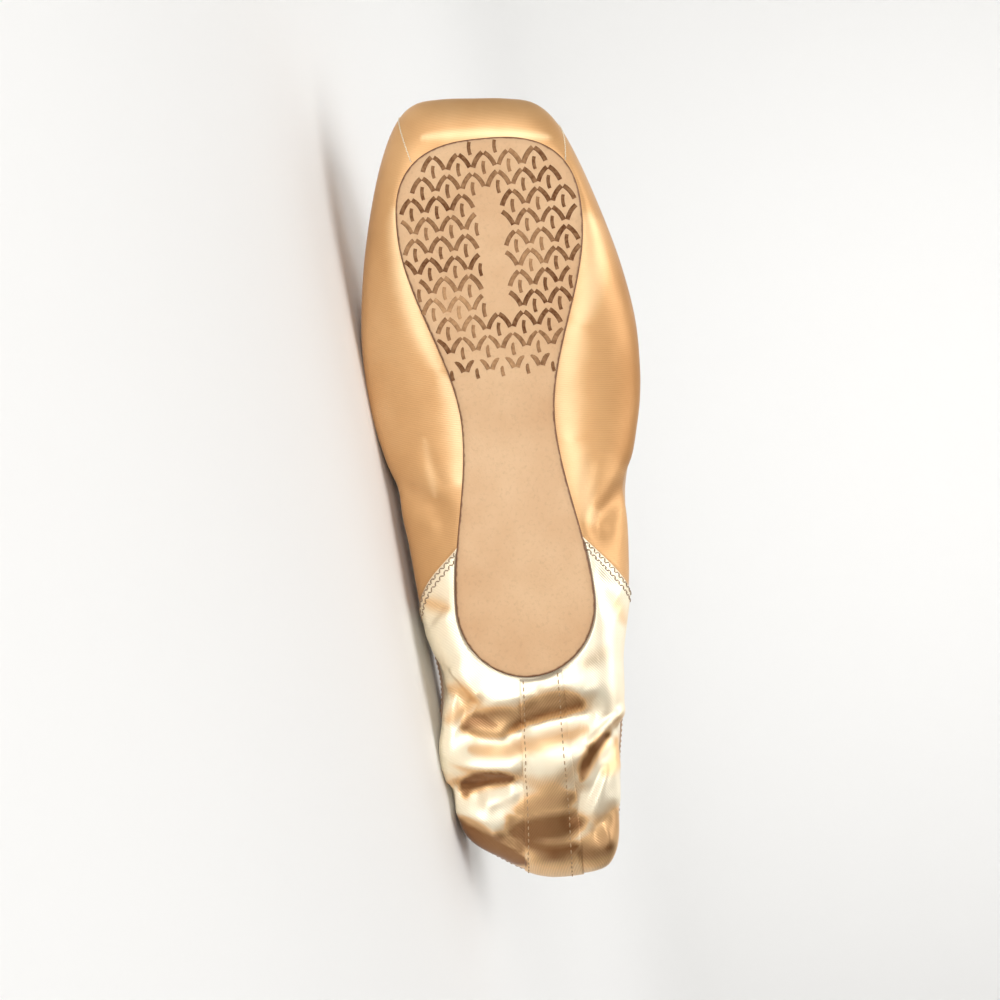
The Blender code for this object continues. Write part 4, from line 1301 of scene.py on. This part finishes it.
class SHOE_OT_stage(bpy.types.Operator):
    """Sets up the floor, the lamps and the camera"""

    bl_idname = "pointe_shoe.stage"
    bl_label = "Stage"

    def execute(self, context):
        sizes = context.scene.shoe_sizes
        add_camera(context, sizes.camera_distance)
        add_backdrop(context.scene.shoe_colours.backdrop)
        for lamp in LAMPS:
            add_lamp(lamp, sizes.lamp_power * lamp.share)
        world = bpy.data.worlds.new("room")
        world.use_nodes = True
        room = world.node_tree.nodes["Background"].inputs
        room["Color"].default_value = ROOM_COLOUR
        room["Strength"].default_value = ROOM_STRENGTH
        context.scene.world = world
        context.scene.view_settings.view_transform = "Standard"
        return {"FINISHED"}


def add_camera(context, distance):
    """The camera looks square at the outsole, with the toe up in the picture."""
    right = Vector((-math.sin(PICTURE_TURN), math.cos(PICTURE_TURN), 0))
    up = Vector((math.cos(PICTURE_TURN), math.sin(PICTURE_TURN), 0))
    location = -right * HEEL_RIGHT * PIXEL + up * HEEL_BELOW * PIXEL + Vector((0, 0, -distance))
    turn = Matrix((right, up, right.cross(up))).transposed().to_4x4()
    camera = add_object("camera", bpy.data.cameras.new("camera"))
    camera.data.lens = LENS
    camera.data.sensor_width = SENSOR
    camera.matrix_world = lying_pose() @ Matrix.Translation(location) @ turn
    context.scene.camera = camera


def add_backdrop(colour):
    """A floor that curves up into a wall behind the shoe."""
    profile = [(FLOOR_FRONT, 0.0)]
    for step in range(BEND_STEPS + 1):
        angle = math.pi / 2 * step / BEND_STEPS
        away, rise = math.sin(angle), 1 - math.cos(angle)
        profile.append((FLOOR_BEND + BEND_RADIUS * away, BEND_RADIUS * rise))
    profile.append((FLOOR_BEND + BEND_RADIUS, WALL_HEIGHT))
    points = [(x, y, z) for y, z in profile for x in (-WALL_HALF_WIDTH, WALL_HALF_WIDTH)]
    faces = [(2 * i, 2 * i + 1, 2 * i + 3, 2 * i + 2) for i in range(len(profile) - 1)]
    backdrop = add_mesh("backdrop", points, faces)
    backdrop.data.shade_smooth()
    backdrop.data.materials.append(backdrop_paper(colour))


def add_lamp(lamp, power):
    """An area lamp that points at a place."""
    made = add_object(lamp.name, bpy.data.lights.new(lamp.name, "AREA"))
    made.data.shape = "RECTANGLE"
    made.data.size, made.data.size_y = lamp.size
    made.data.energy = power
    made.data.spread = math.radians(lamp.spread)
    made.location = lamp.at
    made.rotation_euler = (Vector(lamp.aim) - Vector(lamp.at)).to_track_quat("-Z", "Y").to_euler()


class SHOE_OT_upper(bpy.types.Operator):
    """Builds the satin upper: forepart and quarters outside, cotton inside"""

    bl_idname = "pointe_shoe.upper"
    bl_label = "Satin upper"

    def execute(self, context):
        sizes, colours = context.scene.shoe_sizes, context.scene.shoe_colours
        surface = shoe_surface()
        rows, columns = surface.outer.shape[:2]
        faces = double_faces(rows, columns)
        row = np.repeat(np.arange(rows), columns - 1)
        quarter = (row >= surface.seam_right) & (row < surface.seam_left)
        finish = list(np.where(quarter, 1, 0))
        finish += [2] * (len(faces) - len(finish))
        quarters = quarter_satin("quarter_satin", TWILL_DIRECTION, colours, sizes)
        finishes = [forepart_satin(colours, sizes), quarters, lining_cloth(colours.lining)]
        points = np.stack([surface.outer, surface.inner])
        piece = add_piece("satin_upper", points, faces, finishes, finish)
        on_quarter = (np.arange(rows) >= surface.seam_right) & (np.arange(rows) <= surface.seam_left)
        on_quarter = on_quarter[:, None]
        # Painted light and shade of the satin: patches of painted shade and highlight, and painted shade
        # where slack satin faces the heel's end
        nap_and_painted_shading = painted_satin_shading(surface.outer, surface.normal, np.where(on_quarter, 0.0, FOREPART_TONE))
        store(piece, "nap_and_painted_shading", np.stack([nap_and_painted_shading, np.zeros_like(nap_and_painted_shading)]))
        ribs, twill = (yarn_strength(surface.normal, way) for way in (RIB_DIRECTION, TWILL_DIRECTION))
        store(piece, "yarn", [np.where(on_quarter, twill, ribs)] * 2)
        place_on_frame(piece, "upper_satin", "upper")
        return {"FINISHED"}


class SHOE_OT_heel_strip(bpy.types.Operator):
    """Builds the satin strip over the back of the heel"""

    bl_idname = "pointe_shoe.heel_strip"
    bl_label = "Heel strip"

    def execute(self, context):
        sizes, colours = context.scene.shoe_sizes, context.scene.shoe_colours
        surface = shoe_surface()
        columns = np.where((surface.low > 0.0) & (surface.low <= 2.0))[0]
        grid = np.ix_(surface.strip_rows, columns)
        base, normal = surface.outer[grid], surface.normal[grid]
        rows, count = base.shape[:2]
        rim = np.abs(np.linspace(-1, 1, rows))[:, None, None] ** STRIP_RIM_POWER
        under = on_floor(base + normal * GAP * STRIP_UNDER)
        fullness = STRIP_FULLNESS - STRIP_RIM_DROP * rim
        over = on_floor(base + normal * (GAP + STRIP_THICKNESS * fullness))
        finish = quarter_satin("strip_satin", STRIP_TWILL_DIRECTION, colours, sizes)
        faces = double_faces(rows, count, closed=False)
        piece = add_piece("heel_strip_satin", np.stack([over, under]), faces, [finish])
        # Painted light and shade of the strip's satin, as on the quarters
        store(piece, "nap_and_painted_shading", [painted_satin_shading(base, normal, 0.0)] * 2)
        store(piece, "yarn", [yarn_strength(normal, STRIP_TWILL_DIRECTION)] * 2)
        place_on_frame(piece, "strip_satin", "heel_strip")
        return {"FINISHED"}


class SHOE_OT_binding(bpy.types.Operator):
    """Builds the ribbed elastic that binds the collar"""

    bl_idname = "pointe_shoe.binding"
    bl_label = "Collar binding"

    def execute(self, context):
        ribs = context.scene.shoe_sizes.elastic_ribs
        surface = shoe_surface()
        rows = np.arange(len(surface.turn))
        outside = (surface.outer, surface.normal)
        inside = (surface.inner, grid_normals(surface.inner))
        thick = GAP + BINDING_THICKNESS

        def level(side, column, lift):
            picked = np.full(len(rows), column)
            grid, normals = (sampled(values, rows, picked) for values in side)
            return grid + unit(normals) * lift

        def column_at(share):
            return band_start(surface) + FLAP_START + share * (FINE.band - FLAP_START)

        share = np.linspace(0, 1, ribs * POINTS_PER_RIB + 1)
        # These values shape the grooves and also paint shade into them
        groove_and_painted_shade = list(1 - np.abs(np.sin(math.pi * ribs * share)) ** RIB_ROUNDNESS)
        columns = column_at(share)
        section = [level(outside, c, thick - GROOVE_DEPTH * g) for c, g in zip(columns, groove_and_painted_shade)]
        ahead = round_the_shoe(surface.outer[:, -1])
        over = surface.outer[:, -1] - surface.outer[:, -2]
        over = unit(over - ahead * (over * ahead).sum(axis=1, keepdims=True))
        fold_out = level(outside, columns[-1], thick - FOLD_INSET)
        fold_in = level(inside, columns[-1], FOLD_INSET - thick)
        for step in range(1, FOLD_STEPS):
            t = step / FOLD_STEPS
            bulge = math.sin(math.pi * t) * FOLD_BULGE
            section.append(fold_out * (1 - t) + fold_in * t + over * bulge)
            groove_and_painted_shade.append(0.0)
        for s in np.linspace(1, 0, INNER_POINTS):
            ridge = abs(math.sin(math.pi * INNER_RIBS * s))
            section.append(level(inside, column_at(s), INNER_GROOVE_DEPTH * (1 - ridge) - thick))
            groove_and_painted_shade.append(0.6 * (1 - ridge))
        section.append(level(inside, columns[0], -FLAP_LIFT))
        section.append(level(outside, columns[0], FLAP_LIFT))
        # The binding's edges against the satin get the full painted shade
        groove_and_painted_shade += [1.0, 1.0]
        points = on_floor(np.stack(section, axis=1))
        faces = ring_faces(len(rows), len(section), closed_columns=True)
        finish = ribbed_elastic(context.scene.shoe_colours.elastic)
        piece = add_piece("elastic_binding", points, faces, [finish])
        store(piece, "groove_and_painted_shade", np.tile(groove_and_painted_shade, len(rows)))
        place_on_frame(piece, "collar_elastic", "collar_binding")
        return {"FINISHED"}


class SHOE_OT_outsole(bpy.types.Operator):
    """Builds the leather outsole with its rounded, burnished edge"""

    bl_idname = "pointe_shoe.outsole"
    bl_label = "Leather outsole"

    def execute(self, context):
        half = at_share(half_outline(), np.linspace(0, 1, EDGE_STEPS + 1))
        loop = np.concatenate([half, half[-2:0:-1] * (1, -1)])
        middle = np.clip(loop[:, 0], MIDDLE_FROM_HEEL, SOLE_LENGTH - MIDDLE_FROM_TOE)
        middle = np.stack([middle, np.zeros(len(loop))], axis=1)
        layers = [(middle, SOLE_THICKNESS), (loop + (middle - loop) * 0.01, SOLE_THICKNESS)]
        layers += [(loop, lift) for lift in (SOLE_THICKNESS - 0.0001, SOLE_THICKNESS * 0.5, 0.0004)]
        layers += [(loop + (middle - loop) * share, lift) for share, lift in OUTSOLE_RINGS]
        layers.append((middle, 0.0))
        points, far = [], []
        dense = half_outline()
        for plan, lift in layers:
            points.append(np.column_stack([plan, arch(plan[:, 0]) + lift]))
            folded = np.column_stack([plan[:, 0], np.abs(plan[:, 1])])
            gap = np.linalg.norm(folded[:, None] - dense[None], axis=2).min(axis=1)
            outer_face = lift < SOLE_THICKNESS * 0.3 and plan is not loop
            far.append(gap if outer_face else np.zeros(len(plan)))
        points = np.stack(points, axis=1)
        rows, columns = points.shape[:2]
        finish = sole_leather(context.scene.shoe_colours)
        piece = add_piece("leather_outsole", points, ring_faces(rows, columns), [finish])
        store(piece, "from_edge", np.stack(far, axis=1))
        merged = bmesh.new()
        merged.from_mesh(piece.data)
        bmesh.ops.remove_doubles(merged, verts=merged.verts, dist=1e-6)
        bmesh.ops.dissolve_degenerate(merged, edges=merged.edges, dist=1e-7)
        bmesh.ops.recalc_face_normals(merged, faces=merged.faces)
        merged.to_mesh(piece.data)
        merged.free()
        place_on_frame(piece, "outsole_leather", "outsole")
        return {"FINISHED"}


def on_tread(x, y):
    """Whether a place is clear of the outsole's edge and of the tread's bare place."""
    room = float(half_width(np.array([x + 0.003]))[0]) - abs(y)
    bare = BARE_FROM < x < BARE_TO and abs(y - BARE_MIDDLE) < BARE_HALF_WIDTH
    return room >= TREAD_MARGIN and x <= SOLE_LENGTH - TREAD_END and not bare


class SHOE_OT_tread(bpy.types.Operator):
    """Prints a plain pattern of darts on the outsole's forepart"""

    bl_idname = "pointe_shoe.tread"
    bl_label = "Tread print"

    def execute(self, context):
        pitch = context.scene.shoe_sizes.tread_pitch
        centres, ahead, stretch, fade = [], [], [], []
        step = pitch * TREAD_ROW_SHARE
        rows, columns = range(int(TREAD_LENGTH / step)), range(-TREAD_COLUMNS, TREAD_COLUMNS + 1)
        for row, column, (side, out, back, turn, size) in product(rows, columns, STROKES):
            x = TREAD_FROM + row * step + back * pitch
            y = (column + 0.5 * (row % 2) + side * out) * pitch
            if not on_tread(x, y):
                continue
            centres.append((x, y, float(arch(x)) - TREAD_LIFT))
            ahead.append((math.cos(turn), -side * math.sin(turn), 0.0))
            grow = size * (1.0 + 0.12 * noise.noise(Vector((x * 300, y * 300, 0.0))))
            stretch.append((grow, grow if side < 1 else -grow, 1.0))
            pale = noise.noise(Vector((x * 42, y * 42, 3.0))) * 0.9 + 0.05
            fade.append(min(max(pale, 0.0), 0.55))
        values = {
            "Stroke length": pitch * 0.68,
            "Stroke width": STROKE_WIDTH,
            "Stroke height": STROKE_HEIGHT,
            "Ink": print_ink(context.scene.shoe_colours),
        }
        down = np.tile((0.0, 0.0, -1.0), (len(centres), 1))
        places = (np.array(centres), np.array(ahead), down)
        piece = repeat_on_points("tread_print", stroke_tree(), values, places, stretch, fade)
        place_on_frame(piece, "outsole_leather")
        return {"FINISHED"}


class SHOE_OT_insole(bpy.types.Operator):
    """Gives the CAD part's insole its suede"""

    bl_idname = "pointe_shoe.insole"
    bl_label = "Insole"

    def execute(self, context):
        finish = suede(context.scene.shoe_colours.insole)
        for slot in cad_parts["insole"].material_slots:
            slot.material = finish
        return {"FINISHED"}


class SHOE_OT_stitches(bpy.types.Operator):
    """Sews the heel strip, the quarters' seams, the toe seams and the binding"""

    bl_idname = "pointe_shoe.stitches"
    bl_label = "Stitching"

    def execute(self, context):
        sizes, colours = context.scene.shoe_sizes, context.scene.shoe_colours
        surface = shoe_surface()
        pale = sewing_thread("strip_thread", colours.thread)
        grey = sewing_thread("seam_thread", colours.seam_thread)
        cream = sewing_thread("toe_thread", colours.toe_thread)
        strip, seams, toe = strip_lines(surface), quarter_seams(surface), toe_seams(surface)
        edge = [binding_line(surface)]
        pitch, zigzag = sizes.stitch_pitch, sizes.zigzag_pitch
        work = [
            ("strip_stitches", "strip_satin", strip, pale, pitch, 0.0, pitch * 0.62),
            ("seam_stitches", "upper_satin", seams, grey, zigzag, 0.75, zigzag * 1.1),
            ("toe_stitches", "upper_satin", toe, cream, TOE_PITCH, 0.25, TOE_STITCH),
            ("binding_stitches", "collar_elastic", edge, pale, zigzag * 1.5, 0.5, zigzag * 1.3),
        ]
        tree = stitch_tree()
        for name, slot, lines, thread, apart, swing, length in work:
            rows = [stitch_places(line, up, apart, swing) for line, up in lines]
            places = [np.concatenate(part) for part in zip(*rows)]
            uneven = [0.92 + 0.16 * noise.noise(Vector(p * 700)) for p in places[0]]
            stretch = np.stack([uneven, np.ones(len(uneven)), np.ones(len(uneven))], axis=1)
            values = {
                "Stitch length": length,
                "Thread thickness": sizes.thread_thickness,
                "Stitch bow": sizes.thread_thickness * 1.1,
                "Thread": thread,
            }
            place_on_frame(repeat_on_points(name, tree, values, places, stretch), slot)
        return {"FINISHED"}


def raised(surface, rows, columns, lift):
    """A line on the satin between its rows and columns, lifted off it, and its normals."""
    up = unit(sampled(surface.normal, rows, columns))
    return sampled(surface.outer, rows, columns) + up * lift, up


def strip_lines(surface):
    """The heel strip's two rows of stitches, on its outer face."""
    reach = once_round(surface.turn)
    edges = reach[surface.strip_rows]
    columns = np.where((surface.low > 0.0) & (surface.low <= STRIP_STITCHES_TOP))[0]
    lines = []
    for edge in (edges.min(), edges.max()):
        place_at = LAST_RIB + (edge - LAST_RIB) * STRIP_STITCHES_OUT
        row = float(np.interp(place_at, reach, np.arange(len(reach))))
        line, up = raised(surface, np.full(len(columns), row), columns, GAP + STRIP_THICKNESS * 1.1)
        lines.append((on_floor(line), up))
    return lines


def quarter_seams(surface):
    """The two rows of zigzag stitches behind each quarter's front edge."""
    away = behind_seam(surface.outer, surface.seam_right, surface.seam_left)
    columns = np.where((surface.low > 0.0) & (surface.low < SEAM_TOP))[0]
    lines = []
    for side, edge in ((1, surface.seam_right), (-1, surface.seam_left)):
        picked = edge + side * np.arange(SEAM_SEARCH)
        for distance in SEAM_ROWS:
            places = [np.interp(distance, away[picked, c], picked) for c in columns]
            normals = sampled(surface.normal, places, columns)
            lines.append((sampled(surface.outer, places, columns) + normals * SEAM_LIFT, normals))
    return lines


def toe_seams(surface):
    """The seams beside the toe's platform, from the outsole's edge over the toe's corner."""
    columns = np.where((surface.low > 0.0) & (surface.low <= TOE_SEAM_TOP))[0]
    share = surface.low[columns] / TOE_SEAM_TOP
    reach = once_round(surface.turn)
    lines = []
    for side, sole_at, tip_at in TOE_SEAMS:
        wanted = once_round(side * (sole_at + (tip_at - sole_at) * share))
        rows = np.interp(wanted, reach, np.arange(len(reach)))
        lines.append(raised(surface, rows, columns, 0.00002))
    return lines


def binding_line(surface):
    """The row of zigzag stitches along the binding's lower edge."""
    rows = np.arange(len(surface.turn) + 1) % len(surface.turn)
    columns = np.full(len(rows), band_start(surface) + BINDING_STITCHES_UP)
    up = sampled(surface.normal, rows, columns)
    lift = GAP + BINDING_THICKNESS - 0.0001
    return on_floor(sampled(surface.outer, rows, columns) + up * lift), up


class SHOE_PT_panel(bpy.types.Panel):
    """Lists the shoe's pieces and the settings that they are built with"""

    bl_idname = "SHOE_PT_panel"
    bl_label = "Pointe shoe"
    bl_space_type = "VIEW_3D"
    bl_region_type = "UI"
    bl_category = "Pointe shoe"

    def draw(self, context):
        for group in (context.scene.shoe_sizes, context.scene.shoe_colours):
            box = self.layout.box()
            for name in group.__annotations__:
                box.prop(group, name)
        for operator in OPERATORS:
            self.layout.operator(operator.bl_idname)


OPERATORS = (
    SHOE_OT_stage,
    SHOE_OT_upper,
    SHOE_OT_heel_strip,
    SHOE_OT_binding,
    SHOE_OT_outsole,
    SHOE_OT_tread,
    SHOE_OT_insole,
    SHOE_OT_stitches,
)
CLASSES = (ShoeSizes, ShoeColours, *OPERATORS, SHOE_PT_panel)


def register():
    for item in CLASSES:
        bpy.utils.register_class(item)
    bpy.types.Scene.shoe_sizes = PointerProperty(type=ShoeSizes)
    bpy.types.Scene.shoe_colours = PointerProperty(type=ShoeColours)


def unregister():
    del bpy.types.Scene.shoe_colours
    del bpy.types.Scene.shoe_sizes
    for item in reversed(CLASSES):
        bpy.utils.unregister_class(item)


def main():
    register()
    bpy.ops.pointe_shoe.stage()
    bpy.ops.pointe_shoe.upper()
    bpy.ops.pointe_shoe.heel_strip()
    bpy.ops.pointe_shoe.binding()
    bpy.ops.pointe_shoe.outsole()
    bpy.ops.pointe_shoe.tread()
    bpy.ops.pointe_shoe.insole()
    bpy.ops.pointe_shoe.stitches()


if __name__ == "__main__":
    main()
